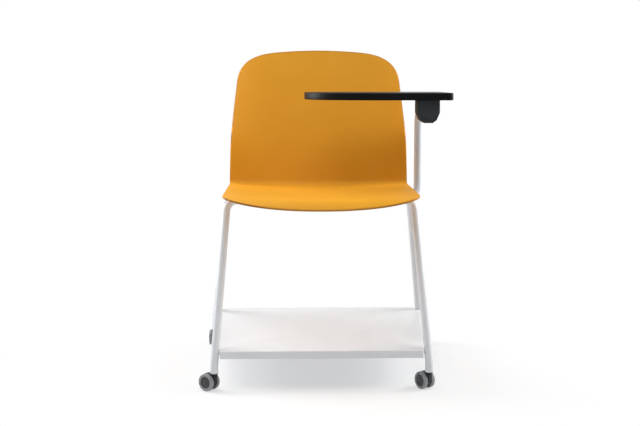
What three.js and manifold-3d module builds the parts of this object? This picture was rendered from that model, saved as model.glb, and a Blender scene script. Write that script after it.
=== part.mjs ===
// Stackable office chair on castors, with a writing tablet and a low shelf.
// Millimetres, +Z up. The sitter faces -Y, and the tablet is on the +X side.
import * as THREE from 'three';
import { mergeVertices } from 'three/addons/utils/BufferGeometryUtils.js';
import Module from 'manifold-3d';

const wasm = await Module();
wasm.setup();

// Fits shared by all pieces
const gap = 0.3;
const looseGap = 0.6;
const cutOverrun = 2;
const fullTurn = 2 * Math.PI;
const quarterTurn = Math.PI / 2;

// Seat and back shell
const shell = {
  halfWidth: 245,
  topHalfWidth: 208.5,
  taperPowerShare: 1.4,
  thickness: 5,
  panTopZ: 474,
  panEdgeRise: 6,
  frontY: -290,
  frontCornerDepth: 110,
  frontCornerPowerShare: 3.8,
  lipLength: 44,
  lipDrop: 19,
  lipPowerShare: 2.2,
  lipAngleShare: 0.5,
  bendStartY: 111,
  bendRadius: 20,
  reclineAngleShare: 0.148,
  backLength: 366.5,
  topCornerDepth: 74,
  topCornerPowerShare: 6.8,
  topCrown: 19,
  backWrap: 42,
  wrapPowerShare: 4,
  wrapRiseLength: 139,
  columns: 22,
  lipRows: 4,
  panRows: 5,
  bendRows: 6,
  backRows: 10,
};

// Round steel tube of the frame
const tube = { radius: 10, sides: 12, bendSteps: 6, bendRadius: 30, crownBelowPan: 15.5 };
const crownZ = shell.panTopZ - tube.crownBelowPan;

// Leg pairs: foot and crown places, as half widths and depths
const frontLegs = {
  name: 'front_leg_tube', footHalfWidth: 266, footY: -245, crownHalfWidth: 239, crownY: -100,
};
const rearLegs = { name: 'rear_leg_tube', footHalfWidth: 298, footY: 245, crownHalfWidth: 247, crownY: 82 };
const foot = { endZ: 45.5, straight: 24, bendRadius: 60, boreRadius: 8, bendSteps: 3 };

// Rails under the seat, with their spacers and screws
const rail = { centreX: 150, width: 30, thickness: 10, aboveCrown: 1, holeRadius: 3.4 };
const railTopZ = crownZ + rail.aboveCrown;
const spacer = { radius: 13, holeRadius: 3.4, sides: 20, fromEndY: 38 };
const seatScrew = { radius: 3, headRadius: 6, headHeight: 4, sides: 12, tipBelowShell: 3 };

// Shelf of folded sheet
const shelf = {
  topZ: 101.5, sheet: 2, frontLip: 19, sideLip: 17, rearOverhang: 22, frontY: -252, shoulderBeyondLeg: 5,
};
const shelfScrew = { headRadius: 4.5, headHeight: 3, radius: 2.5, sides: 12, belowTop: 9 };

// Arm of the tablet, and the bracket that holds it on the right rail
const arm = {
  beyondShell: 14, postY: -10, lowBelowCrown: 2, highZ: 686, lowBend: 26, highBend: 45, innerX: 178,
  endY: -215,
};
const armPostX = shell.halfWidth + arm.beyondShell;
const armLowZ = crownZ - arm.lowBelowCrown;
const bracket = {
  outerX: 196, lengthY: 60, floorThickness: 6, wallBelowArm: 4, wallAboveArm: 3, underRail: 24,
};
const armBolt = { radius: 3, headRadius: 6, headHeight: 4, fromEndY: 14, sides: 12 };

// Housing under the tablet, with the bush that turns on the arm
const housing = {
  halfWidth: 27.2, shoulderZ: 685, haunchHalfWidth: 19.7, haunchZ: 667, bottomZ: 660,
  bottomHalfWidth: 10.2, length: 58, frontWall: 9, frontSetback: 19,
};
const bush = { wall: 2.7, length: 46, sides: 20 };
const tabletScrew = {
  radius: 2, headRadius: 4, headHeight: 3, offsetX: 21, depthInBoard: 11, headZ: 696, sides: 12,
};

// Writing tablet
const tablet = {
  beyondPost: 59, width: 359, frontY: -247, rearY: 28, topZ: 733, thickness: 18, cornerRadius: 16,
  sweepLength: 188, sweepDepth: 172, rearSweepLength: 90, rearSweepDepth: 95, chamfer: 2.2, curveSteps: 12,
};

// Castors: twin wheels that trail behind a vertical stem
const castor = {
  wheelRadius: 22, wheelSides: 24, wheelWidth: 10, wheelGap: 12, trail: 17,
  tyreDepth: 5.5, tyreChamfer: 1.3, hubInset: 0.8, hubWall: 2.5, hubSides: 20,
  axleRadius: 3, axleSides: 12, hoodThickness: 11, hoodRadius: 22.4, hoodFootZ: 6, hoodSteps: 10,
  stemRadius: 3.5, stemSides: 12, stemBottomZ: 25, stemTopZ: 66,
  socketFlangeRadius: 9.5, socketFlange: 2, socketTopZ: 68, socketSides: 16,
};
// Turn of each castor's trail from -X towards +Y, in shares of a full turn
const castorTurnShares = {
  frontLeft: 35 / 360, frontRight: 58 / 360, rearLeft: -88 / 360, rearRight: -95 / 360,
};

// Finishes
const finish = {
  shellPlastic: { color: 0xe39a33, roughness: 0.55, metalness: 0 },
  whitePaint: { color: 0xe4e6e8, roughness: 0.4, metalness: 0.1 },
  blackPlastic: { color: 0x1c1d1f, roughness: 0.5, metalness: 0 },
  tabletBlack: { color: 0x222426, roughness: 0.42, metalness: 0 },
  greyTread: { color: 0x8f9294, roughness: 0.7, metalness: 0 },
  hubPlastic: { color: 0x37393b, roughness: 0.5, metalness: 0 },
  steel: { color: 0xa9adb0, roughness: 0.35, metalness: 0.9 },
};

const chair = new THREE.Group();

// A named mesh in its finish, added to a group
function addPiece(group, name, geometry, look) {
  const mesh = new THREE.Mesh(geometry, new THREE.MeshStandardMaterial(finish[look]));
  mesh.name = name;
  group.add(mesh);
  return mesh;
}

// A closed geometry as a solid that can be joined and cut
function toSolid(geometry) {
  const bare = geometry.clone();
  bare.deleteAttribute('normal');
  bare.deleteAttribute('uv');
  const merged = mergeVertices(bare);
  return new wasm.Manifold(new wasm.Mesh({
    numProp: 3,
    vertProperties: new Float32Array(merged.attributes.position.array),
    triVerts: new Uint32Array(merged.index.array),
  }));
}

// A solid back as a geometry
function toGeometry(solid) {
  const mesh = solid.getMesh();
  const geometry = new THREE.BufferGeometry();
  geometry.setAttribute('position', new THREE.BufferAttribute(new Float32Array(mesh.vertProperties), 3));
  geometry.setIndex(new THREE.BufferAttribute(new Uint32Array(mesh.triVerts), 1));
  geometry.computeVertexNormals();
  return geometry;
}

// One body with the given cutters taken away
function cut(geometry, cutters) {
  let solid = toSolid(geometry);
  for (const cutter of cutters) solid = solid.subtract(toSolid(cutter));
  return toGeometry(solid);
}

// A round bar along Z between two heights
function bar(radius, lowZ, highZ, sides) {
  const geometry = new THREE.CylinderGeometry(radius, radius, highZ - lowZ, sides);
  geometry.rotateX(quarterTurn);
  geometry.translate(0, 0, (lowZ + highZ) / 2);
  return geometry;
}

// A closed turned body around Z from radius and height pairs
function turned(profile, sides) {
  const points = profile.map(([radius, height]) => new THREE.Vector2(radius, height));
  const geometry = new THREE.LatheGeometry(points, sides);
  geometry.rotateX(quarterTurn);
  return geometry;
}

// A prism along +Z from an outline, with round holes given as [x, y, radius, sides]
function prism(outline, height, holes) {
  const shape = new THREE.Shape(outline.map(([x, y]) => new THREE.Vector2(x, y)));
  for (const [x, y, radius, sides] of holes) {
    shape.holes.push(new THREE.Path(circlePoints(radius, sides).map((p) => p.add(new THREE.Vector2(x, y)))));
  }
  return new THREE.ExtrudeGeometry(shape, { depth: height, bevelEnabled: false, curveSegments: 1 });
}

// Points of a regular polygon in a circle
function circlePoints(radius, sides) {
  return Array.from({ length: sides }, (_, index) => {
    const angle = (index / sides) * fullTurn;
    return new THREE.Vector2(radius * Math.cos(angle), radius * Math.sin(angle));
  });
}

// A path that steps exactly from one given point to the next
class StationCurve extends THREE.Curve {
  constructor(points) {
    super();
    this.points = points;
  }
  getPointAt(share) {
    return this.points[Math.round(share * (this.points.length - 1))].clone();
  }
  getTangentAt(share) {
    const index = Math.round(share * (this.points.length - 1));
    const before = this.points[Math.max(index - 1, 0)];
    const after = this.points[Math.min(index + 1, this.points.length - 1)];
    return after.clone().sub(before).normalize();
  }
  getPoint(share) {
    return this.getPointAt(share);
  }
}

// Straight runs joined by round bends: corners are [x, y, z, bend radius, bend steps]
function bentPath(corners) {
  const points = corners.map(([x, y, z]) => new THREE.Vector3(x, y, z));
  const path = [points[0]];
  for (let index = 1; index < points.length - 1; index += 1) {
    const [, , , radius, steps] = corners[index];
    const toBefore = points[index - 1].clone().sub(points[index]).normalize();
    const toAfter = points[index + 1].clone().sub(points[index]).normalize();
    const turn = Math.PI - toBefore.angleTo(toAfter);
    const reach = radius * Math.tan(turn / 2);
    const middle = toBefore.clone().add(toAfter).normalize();
    const centre = points[index].clone().addScaledVector(middle, radius / Math.cos(turn / 2));
    const start = points[index].clone().addScaledVector(toBefore, reach).sub(centre);
    const end = points[index].clone().addScaledVector(toAfter, reach).sub(centre);
    const axis = start.clone().cross(end).normalize();
    for (let step = 0; step <= steps; step += 1) {
      path.push(start.clone().applyAxisAngle(axis, (turn * step) / steps).add(centre));
    }
  }
  path.push(points[points.length - 1]);
  return path;
}

// A round tube, closed at both ends, along a bent path
function bentTube(corners, radius, sides) {
  const path = bentPath(corners);
  const section = new THREE.Shape(circlePoints(radius, sides));
  return new THREE.ExtrudeGeometry(section, { steps: path.length - 1, extrudePath: new StationCurve(path) });
}

// Point of a leg's straight run at a height, on the +X side
function legPointAt(legs, height) {
  const low = foot.endZ + foot.straight;
  const share = (height - low) / (crownZ - low);
  return {
    x: legs.footHalfWidth + (legs.crownHalfWidth - legs.footHalfWidth) * share,
    y: legs.footY + (legs.crownY - legs.footY) * share,
  };
}

// Depth from a leg's middle line to its face, level with the floor
function legReachY(legs) {
  const rise = crownZ - foot.endZ - foot.straight;
  return tube.radius * Math.hypot(1, (legs.crownY - legs.footY) / rise);
}

// Two splayed legs and their crown from one bent tube, bored at the feet
function legTube(legs) {
  const side = (sign) => [
    [sign * legs.footHalfWidth, legs.footY, foot.endZ],
    [sign * legs.footHalfWidth, legs.footY, foot.endZ + foot.straight, foot.bendRadius, foot.bendSteps],
    [sign * legs.crownHalfWidth, legs.crownY, crownZ, tube.bendRadius, tube.bendSteps],
  ];
  const body = bentTube([...side(-1), ...side(1).reverse()], tube.radius, tube.sides);
  const bores = [-1, 1].map((sign) => {
    const bore = bar(foot.boreRadius, foot.endZ - cutOverrun, castor.socketTopZ + gap, castor.socketSides);
    return bore.translate(sign * legs.footHalfWidth, legs.footY, 0);
  });
  const screwHoles = [-1, 1].map((sign) => shelfScrewPlace(legs, sign, shelfScrewBar(gap, gap)));
  addPiece(chair, legs.name, cut(body, [...bores, ...screwHoles]), 'whitePaint');
}

// Share of the corner rounding that is left at a place across the shell
function cornerShare(across, power) {
  return 1 - Math.sqrt(Math.max(0, 1 - Math.abs(across) ** power));
}

// Upper surface of the shell: across runs from -1 to 1, along counts rows from the front edge
function shellPoint(across, along) {
  const lipEnd = shell.lipRows;
  const panEnd = lipEnd + shell.panRows;
  const bendEnd = panEnd + shell.bendRows;
  const square = across * across;
  const panZ = shell.panTopZ + shell.panEdgeRise * square;
  const edgeY = shell.frontY + shell.frontCornerDepth * cornerShare(across, shell.frontCornerPowerShare);
  if (along <= lipEnd) {
    const lipAngle = quarterTurn * shell.lipAngleShare;
    const angle = lipAngle * (1 - along / lipEnd);
    const dropShare = (1 - Math.cos(angle)) / (1 - Math.cos(lipAngle));
    const drop = shell.lipDrop * (1 - Math.abs(across) ** shell.lipPowerShare) * dropShare;
    const y = edgeY + shell.lipLength * (1 - Math.sin(angle) / Math.sin(lipAngle));
    return new THREE.Vector3(across * shell.halfWidth, y, panZ - drop);
  }
  if (along <= panEnd) {
    const share = (along - lipEnd) / shell.panRows;
    const startY = edgeY + shell.lipLength;
    return new THREE.Vector3(across * shell.halfWidth, startY + (shell.bendStartY - startY) * share, panZ);
  }
  const fullBend = quarterTurn * (1 - shell.reclineAngleShare);
  const bendShare = Math.min((along - panEnd) / shell.bendRows, 1);
  const angle = fullBend * bendShare;
  const backShare = Math.max(along - bendEnd, 0) / shell.backRows;
  const corner = shell.topCornerDepth * cornerShare(across, shell.topCornerPowerShare);
  const length = backShare * (shell.backLength - corner - shell.topCrown * square);
  const riseLength = shell.bendRadius + shell.wrapRiseLength;
  const wrapShare = smooth((bendShare * shell.bendRadius + length) / riseLength);
  const panLift = shell.panEdgeRise * square * (1 - wrapShare);
  const lift = panLift + shell.backWrap * Math.abs(across) ** shell.wrapPowerShare * wrapShare;
  const y = shell.bendStartY + shell.bendRadius * Math.sin(angle) + length * Math.cos(fullBend);
  const z = shell.panTopZ + shell.bendRadius * (1 - Math.cos(angle)) + length * Math.sin(fullBend);
  const taperShare = (length / shell.backLength) ** shell.taperPowerShare;
  const width = shell.halfWidth + (shell.topHalfWidth - shell.halfWidth) * taperShare;
  return new THREE.Vector3(
    across * width,
    y - lift * Math.sin(angle),
    z + lift * Math.cos(angle),
  );
}

// Smooth step from 0 to 1
function smooth(share) {
  const limited = Math.min(Math.max(share, 0), 1);
  return limited * limited * (3 - 2 * limited);
}

// Grid of the upper surface, closer together towards the sides
function shellGrid() {
  const rows = shell.lipRows + shell.panRows + shell.bendRows + shell.backRows;
  const grid = [];
  for (let row = 0; row <= rows; row += 1) {
    const line = [];
    for (let column = 0; column <= shell.columns; column += 1) {
      line.push(shellPoint(Math.sin(quarterTurn * ((2 * column) / shell.columns - 1)), row));
    }
    grid.push(line);
  }
  return grid;
}

// Unit normal of a grid at one of its points, towards the sitter
function gridNormal(grid, row, column) {
  const rowBefore = grid[Math.max(row - 1, 0)][column];
  const rowAfter = grid[Math.min(row + 1, grid.length - 1)][column];
  const columnBefore = grid[row][Math.max(column - 1, 0)];
  const columnAfter = grid[row][Math.min(column + 1, grid[row].length - 1)];
  return columnAfter.clone().sub(columnBefore).cross(rowAfter.clone().sub(rowBefore)).normalize();
}

// Seat and back in one sheet of even thickness
function seatShell() {
  const grid = shellGrid();
  const rows = grid.length;
  const columns = grid[0].length;
  const top = grid.flat();
  const under = grid.flatMap((line, row) => line.map((point, column) => (
    point.clone().addScaledVector(gridNormal(grid, row, column), -shell.thickness))));
  const index = [];
  const quad = (a, b, c, d) => index.push(a, b, c, a, c, d);
  const at = (row, column) => row * columns + column;
  const below = (row, column) => rows * columns + at(row, column);
  for (let row = 0; row < rows - 1; row += 1) {
    for (let column = 0; column < columns - 1; column += 1) {
      quad(at(row, column), at(row, column + 1), at(row + 1, column + 1), at(row + 1, column));
      quad(below(row, column), below(row + 1, column), below(row + 1, column + 1), below(row, column + 1));
    }
    const last = columns - 1;
    quad(at(row, last), below(row, last), below(row + 1, last), at(row + 1, last));
    quad(at(row + 1, 0), below(row + 1, 0), below(row, 0), at(row, 0));
  }
  for (let column = 0; column < columns - 1; column += 1) {
    const last = rows - 1;
    quad(at(0, column + 1), at(0, column), below(0, column), below(0, column + 1));
    quad(at(last, column), at(last, column + 1), below(last, column + 1), below(last, column));
  }
  const geometry = new THREE.BufferGeometry().setFromPoints([...top, ...under]);
  geometry.setIndex(index);
  geometry.computeVertexNormals();
  addPiece(chair, 'seat_shell', geometry, 'shellPlastic');
}

// Height of the shell's underside at a place across the pan
function shellUnderZ(x) {
  const across = x / shell.halfWidth;
  return shell.panTopZ + shell.panEdgeRise * across * across - shell.thickness;
}

// Depths of the two spacers on a rail
function spacerYs() {
  return [frontLegs.crownY + tube.radius + spacer.fromEndY, rearLegs.crownY - tube.radius - spacer.fromEndY];
}

// Middle depth of the arm's bracket and of its two bolts
function armBoltYs() {
  const reach = bracket.lengthY / 2 - armBolt.fromEndY;
  return [arm.postY - reach, arm.postY + reach];
}

// Flat bar between the two crowns, with the holes of its screws
function seatRail(side, sign) {
  const startY = frontLegs.crownY + tube.radius + gap;
  const endY = rearLegs.crownY - tube.radius - gap;
  const x = sign * rail.centreX;
  const half = rail.width / 2;
  const outline = [[x - half, startY], [x + half, startY], [x + half, endY], [x - half, endY]];
  const places = spacerYs().map((y) => [x, y]);
  if (sign > 0) armBoltYs().forEach((y) => places.push([x, y]));
  const holes = places.map(([px, py]) => [px, py, rail.holeRadius, seatScrew.sides]);
  const body = prism(outline, rail.thickness, holes);
  body.translate(0, 0, railTopZ - rail.thickness);
  addPiece(chair, `${side}_seat_rail`, body, 'whitePaint');
}

// Spacer between a rail and the shell, and the screw that holds it from below
function seatFixing(side, end, x, y) {
  const underZ = shellUnderZ(Math.abs(x) - spacer.radius) - gap;
  const tipZ = underZ - seatScrew.tipBelowShell;
  const ring = cut(
    bar(spacer.radius, railTopZ, underZ, spacer.sides),
    [bar(spacer.holeRadius, railTopZ - cutOverrun, tipZ + gap, seatScrew.sides)],
  );
  ring.translate(x, y, 0);
  addPiece(chair, `${side}_${end}_spacer`, ring, 'blackPlastic');
  const headTop = railTopZ - rail.thickness;
  const screw = turned([
    [0, headTop - seatScrew.headHeight], [seatScrew.headRadius, headTop - seatScrew.headHeight],
    [seatScrew.headRadius, headTop], [seatScrew.radius, headTop], [seatScrew.radius, tipZ], [0, tipZ],
  ], seatScrew.sides);
  screw.translate(x, y, 0);
  addPiece(chair, `${side}_${end}_seat_screw`, screw, 'steel');
}

// A bar along +X for the shelf's screws, as the screw or, with clearances, as its hole
function shelfScrewBar(extraRadius, extraLength) {
  const length = shelf.sheet + gap + tube.radius / 2 + extraLength;
  return bar(shelfScrew.radius + extraRadius, -cutOverrun * Math.sign(extraRadius), length, shelfScrew.sides)
    .rotateY(quarterTurn);
}

// Moves a piece from the origin to the inner face of the shelf's side lip at a leg
function shelfScrewPlace(legs, sign, geometry) {
  const height = shelf.topZ - shelfScrew.belowTop;
  const { y } = legPointAt(legs, height);
  if (sign < 0) geometry.rotateZ(Math.PI);
  return geometry.translate(sign * (shelfHalfWidthAt(y) - shelf.sheet), y, height);
}

// Depth of the shelf's shoulders, close in front of the rear legs
function shelfShoulderY() {
  return legPointAt(rearLegs, shelf.topZ).y - legReachY(rearLegs) - gap;
}

// Half width of the shelf at a depth: past the front legs out to the shoulders, then between the rear legs
function shelfHalfWidthAt(y) {
  const rear = legPointAt(rearLegs, shelf.topZ);
  if (y > shelfShoulderY()) return rear.x - tube.radius - gap;
  const front = legPointAt(frontLegs, shelf.topZ);
  const frontHalf = front.x - tube.radius - gap;
  const share = (y - front.y) / (shelfShoulderY() - front.y);
  return frontHalf + (rear.x + shelf.shoulderBeyondLeg - frontHalf) * share;
}

// Outline of the shelf, drawn in by the same distance at its sides and shoulders
function shelfOutline(frontY, rearY, inset) {
  const shoulderY = shelfShoulderY();
  const rearHalf = shelfHalfWidthAt(rearY) - inset;
  const rightSide = [
    [shelfHalfWidthAt(frontY) - inset, frontY],
    [shelfHalfWidthAt(shoulderY) - inset, shoulderY - inset],
    [rearHalf, shoulderY - inset],
    [rearHalf, rearY],
  ];
  return [...rightSide, ...rightSide.map(([x, y]) => [-x, y]).reverse()];
}

// Shelf sheet with all its lips folded down but the rear one
function shelfTray() {
  const rearY = legPointAt(rearLegs, shelf.topZ).y + shelf.rearOverhang;
  const block = prism(shelfOutline(shelf.frontY, rearY, 0), shelf.frontLip, []);
  block.translate(0, 0, shelf.topZ - shelf.frontLip);
  const hollow = prism(
    shelfOutline(shelf.frontY + shelf.sheet, rearY + cutOverrun, shelf.sheet),
    shelf.frontLip - shelf.sheet + cutOverrun,
    [],
  );
  hollow.translate(0, 0, shelf.topZ - shelf.frontLip - cutOverrun);
  const trimDepth = rearY - shelf.frontY + cutOverrun;
  const trim = prism(shelfOutline(shelf.frontY + shelf.sheet, shelf.frontY + trimDepth, -cutOverrun),
    shelf.frontLip - shelf.sideLip + cutOverrun, []);
  trim.translate(0, 0, shelf.topZ - shelf.frontLip - cutOverrun);
  const holes = [frontLegs, rearLegs].flatMap((legs) => [-1, 1].map((sign) => (
    shelfScrewPlace(legs, sign, shelfScrewBar(gap, gap)))));
  addPiece(chair, 'shelf_tray', cut(block, [hollow, trim, ...holes]), 'whitePaint');
}

// Button-head screw that holds the shelf's lip to a leg, from the inside
function addShelfScrew(name, legs, sign) {
  const length = shelf.sheet + gap + tube.radius / 2;
  const seat = -looseGap;
  const screw = turned([
    [0, seat - shelfScrew.headHeight], [shelfScrew.headRadius, seat - shelfScrew.headHeight],
    [shelfScrew.headRadius, seat], [shelfScrew.radius, seat], [shelfScrew.radius, length], [0, length],
  ], shelfScrew.sides);
  screw.rotateY(quarterTurn);
  addPiece(chair, name, shelfScrewPlace(legs, sign, screw), 'steel');
}

// Arm from under the seat, up beside it, and forward into the housing
function armTube() {
  addPiece(chair, 'tablet_arm_tube', bentTube([
    [arm.innerX, arm.postY, armLowZ],
    [armPostX, arm.postY, armLowZ, arm.lowBend, tube.bendSteps],
    [armPostX, arm.postY, arm.highZ, arm.highBend, tube.bendSteps],
    [armPostX, arm.endY, arm.highZ],
  ], tube.radius, tube.sides), 'whitePaint');
}

// Bracket beside and under the right rail, bored for the arm
function armBracket() {
  const railEdge = rail.centreX + rail.width / 2 + gap;
  const railUnder = railTopZ - rail.thickness;
  const floorTop = railUnder - gap;
  const low = Math.min(armLowZ - tube.radius - bracket.wallBelowArm, floorTop - bracket.floorThickness);
  const high = armLowZ + tube.radius + bracket.wallAboveArm;
  const innerX = railEdge - bracket.underRail;
  const outline = [
    [innerX, low], [bracket.outerX, low], [bracket.outerX, high], [railEdge, high],
    [railEdge, floorTop], [innerX, floorTop],
  ];
  const body = prism(outline, bracket.lengthY, []);
  body.rotateX(quarterTurn);
  body.translate(0, arm.postY + bracket.lengthY / 2, 0);
  const bore = bar(tube.radius + gap, arm.innerX - gap, bracket.outerX + cutOverrun, tube.sides * 2);
  bore.rotateY(quarterTurn);
  bore.translate(0, arm.postY, armLowZ);
  const holes = armBoltYs().map((y) => {
    const hole = bar(rail.holeRadius, low - cutOverrun, floorTop + cutOverrun, armBolt.sides);
    return hole.translate(rail.centreX, y, 0);
  });
  addPiece(chair, 'arm_bracket', cut(body, [bore, ...holes]), 'whitePaint');
  armBoltYs().forEach((y, index) => {
    const top = railTopZ - gap;
    const bolt = turned([
      [0, low - gap - armBolt.headHeight], [armBolt.headRadius, low - gap - armBolt.headHeight],
      [armBolt.headRadius, low - gap], [armBolt.radius, low - gap], [armBolt.radius, top], [0, top],
    ], armBolt.sides);
    bolt.translate(rail.centreX, y, 0);
    addPiece(chair, `arm_bolt_${index === 0 ? 'front' : 'rear'}`, bolt, 'steel');
  });
}

// Faceted housing that turns on the arm's end and carries the tablet
function tabletHousing() {
  const topZ = tablet.topZ - tablet.thickness - gap;
  const frontY = tablet.frontY + housing.frontSetback;
  const rightSide = [
    [housing.bottomHalfWidth, housing.bottomZ], [housing.haunchHalfWidth, housing.haunchZ],
    [housing.halfWidth, housing.shoulderZ], [housing.halfWidth, topZ],
  ];
  const outline = [...rightSide, ...rightSide.map(([x, z]) => [-x, z]).reverse()];
  const body = prism(outline, housing.length, []);
  body.rotateX(quarterTurn);
  body.translate(armPostX, frontY + housing.length, 0);
  const bore = bar(tube.radius + gap + bush.wall + gap, frontY + housing.frontWall,
    frontY + housing.length + cutOverrun, bush.sides);
  bore.rotateX(-quarterTurn);
  bore.translate(armPostX, 0, arm.highZ);
  const cutters = [bore];
  const middleY = frontY + housing.length / 2;
  for (const sign of [-1, 1]) {
    const x = armPostX + sign * tabletScrew.offsetX;
    cutters.push(bar(tabletScrew.radius + gap, housing.bottomZ, topZ + cutOverrun, tabletScrew.sides)
      .translate(x, middleY, 0));
    cutters.push(bar(tabletScrew.headRadius + gap, housing.bottomZ - cutOverrun, tabletScrew.headZ,
      tabletScrew.sides).translate(x, middleY, 0));
  }
  addPiece(chair, 'tablet_housing', cut(body, cutters), 'blackPlastic');
  tabletBush(frontY);
  addTabletScrews(middleY);
}

// Sleeve between the housing and the arm
function tabletBush(frontY) {
  const inner = tube.radius + gap;
  const outer = inner + bush.wall;
  const half = bush.length / 2;
  const profile = [[inner, -half], [outer, -half], [outer, half], [inner, half], [inner, -half]];
  const sleeve = turned(profile, bush.sides);
  sleeve.rotateX(quarterTurn);
  sleeve.translate(armPostX, frontY + housing.frontWall + gap + half, arm.highZ);
  addPiece(chair, 'pivot_bush', sleeve, 'steel');
}

// Screws from the housing up into the board
function addTabletScrews(y) {
  const tipZ = tablet.topZ - tablet.thickness + tabletScrew.depthInBoard;
  const headTop = tabletScrew.headZ - gap;
  for (const [side, sign] of [['left', -1], ['right', 1]]) {
    const screw = turned([
      [0, headTop - tabletScrew.headHeight], [tabletScrew.headRadius, headTop - tabletScrew.headHeight],
      [tabletScrew.headRadius, headTop], [tabletScrew.radius, headTop], [tabletScrew.radius, tipZ], [0, tipZ],
    ], tabletScrew.sides);
    screw.translate(armPostX + sign * tabletScrew.offsetX, y, 0);
    addPiece(chair, `tablet_screw_${side}`, screw, 'steel');
  }
}

// Points of a quarter of an ellipse about a centre, from one angle to the next quarter
function quarterEllipse(centreX, centreY, radiusX, radiusY, startAngle, steps) {
  return Array.from({ length: steps + 1 }, (_, index) => {
    const angle = startAngle - (quarterTurn * index) / steps;
    return [centreX + radiusX * Math.cos(angle), centreY + radiusY * Math.sin(angle)];
  });
}

// Outline of the board, with its edges drawn in by an inset
function tabletOutline(inset) {
  const right = armPostX + tablet.beyondPost - inset;
  const left = armPostX + tablet.beyondPost - tablet.width + inset;
  const front = tablet.frontY + inset;
  const rear = tablet.rearY - inset;
  const radius = tablet.cornerRadius - inset;
  const corner = tablet.curveSteps / 3;
  return [
    ...quarterEllipse(right - radius, front + radius, radius, radius, 0, corner),
    ...quarterEllipse(left + tablet.sweepLength, front + tablet.sweepDepth, tablet.sweepLength,
      tablet.sweepDepth, -quarterTurn, tablet.curveSteps),
    ...quarterEllipse(left + tablet.rearSweepLength, rear - tablet.rearSweepDepth, tablet.rearSweepLength,
      tablet.rearSweepDepth, -Math.PI, tablet.curveSteps),
    ...quarterEllipse(right - radius, rear - radius, radius, radius, quarterTurn, corner),
  ];
}

// Writing board with chamfered edges and blind holes for its screws
function tabletBoard() {
  const outer = tabletOutline(0);
  const inner = tabletOutline(tablet.chamfer);
  const lowZ = tablet.topZ - tablet.thickness;
  const rings = [[inner, lowZ], [outer, lowZ + tablet.chamfer], [outer, tablet.topZ - tablet.chamfer],
    [inner, tablet.topZ]];
  const body = loft(rings.map(([ring, z]) => ring.map(([x, y]) => new THREE.Vector3(x, y, z))));
  const y = tablet.frontY + housing.frontSetback + housing.length / 2;
  const tipZ = lowZ + tabletScrew.depthInBoard + gap;
  const holes = [-1, 1].map((sign) => (
    bar(tabletScrew.radius + gap, lowZ - cutOverrun, tipZ, tabletScrew.sides)
      .translate(armPostX + sign * tabletScrew.offsetX, y, 0)));
  addPiece(chair, 'tablet_board', cut(body, holes), 'tabletBlack');
}

// A closed body through rings of points that run clockwise seen from +Z, capped at both ends
function loft(rings) {
  const count = rings[0].length;
  const index = [];
  for (let ring = 0; ring < rings.length - 1; ring += 1) {
    for (let step = 0; step < count; step += 1) {
      const next = (step + 1) % count;
      const a = ring * count + step;
      const b = ring * count + next;
      index.push(a, a + count, b, b, a + count, b + count);
    }
  }
  const flat = rings[0].map((point) => new THREE.Vector2(point.x, point.y));
  const faces = THREE.ShapeUtils.triangulateShape([...flat].reverse(), []);
  const last = (rings.length - 1) * count;
  for (const [a, b, c] of faces) {
    const [p, q, r] = [count - 1 - a, count - 1 - b, count - 1 - c];
    index.push(p, r, q);
    index.push(last + p, last + q, last + r);
  }
  const geometry = new THREE.BufferGeometry().setFromPoints(rings.flat());
  geometry.setIndex(index);
  geometry.computeVertexNormals();
  return geometry;
}

// Height of the axle when a flat of the tread lies on the floor
function axleZ() {
  return castor.wheelRadius * Math.cos(Math.PI / castor.wheelSides);
}

// Hood between the wheels, in the castor's own frame: it trails along +X, and its axle lies along Y
function castorHood() {
  const stemBoreTop = foot.endZ - castor.socketFlange - looseGap;
  const centreZ = axleZ();
  const outline = [];
  const frontX = castor.trail - castor.hoodRadius;
  for (let step = 0; step <= castor.hoodSteps; step += 1) {
    const angle = -quarterTurn / 2 + (3 * quarterTurn / 2) * (step / castor.hoodSteps);
    outline.push([castor.trail + castor.hoodRadius * Math.cos(angle),
      Math.min(centreZ + castor.hoodRadius * Math.sin(angle), stemBoreTop)]);
  }
  outline.push([frontX + castor.stemRadius / 2, stemBoreTop], [frontX, stemBoreTop - castor.stemRadius]);
  outline.push([frontX, centreZ - castor.stemRadius]);
  outline.push([castor.trail - castor.hoodRadius / 2, castor.hoodFootZ]);
  outline.push([castor.trail + castor.hoodRadius / 2, castor.hoodFootZ]);
  const body = prism(outline, castor.hoodThickness, []);
  body.rotateX(quarterTurn);
  body.translate(0, castor.hoodThickness / 2, 0);
  const stemHole = bar(castor.stemRadius + gap, castor.stemBottomZ - gap, stemBoreTop + cutOverrun,
    castor.stemSides);
  const axleHole = bar(castor.axleRadius + gap, -castor.hoodThickness, castor.hoodThickness,
    castor.axleSides);
  axleHole.rotateX(quarterTurn);
  axleHole.translate(castor.trail, 0, centreZ);
  return cut(body, [stemHole, axleHole]);
}

// Stem that turns in the socket
function castorStem() {
  const lead = castor.stemRadius / 2;
  return turned([
    [0, castor.stemBottomZ], [castor.stemRadius, castor.stemBottomZ],
    [castor.stemRadius, castor.stemTopZ - lead], [castor.stemRadius - lead, castor.stemTopZ],
    [0, castor.stemTopZ],
  ], castor.stemSides);
}

// Socket in the foot of the leg, with a flange under the tube's end
function legSocket() {
  const inner = castor.stemRadius + gap;
  const outer = foot.boreRadius - gap;
  const flangeTop = foot.endZ - gap;
  const flangeLow = flangeTop - castor.socketFlange;
  return turned([
    [inner, flangeLow], [castor.socketFlangeRadius, flangeLow], [castor.socketFlangeRadius, flangeTop],
    [outer, flangeTop], [outer, castor.socketTopZ], [inner, castor.socketTopZ], [inner, flangeLow],
  ], castor.socketSides);
}

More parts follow.
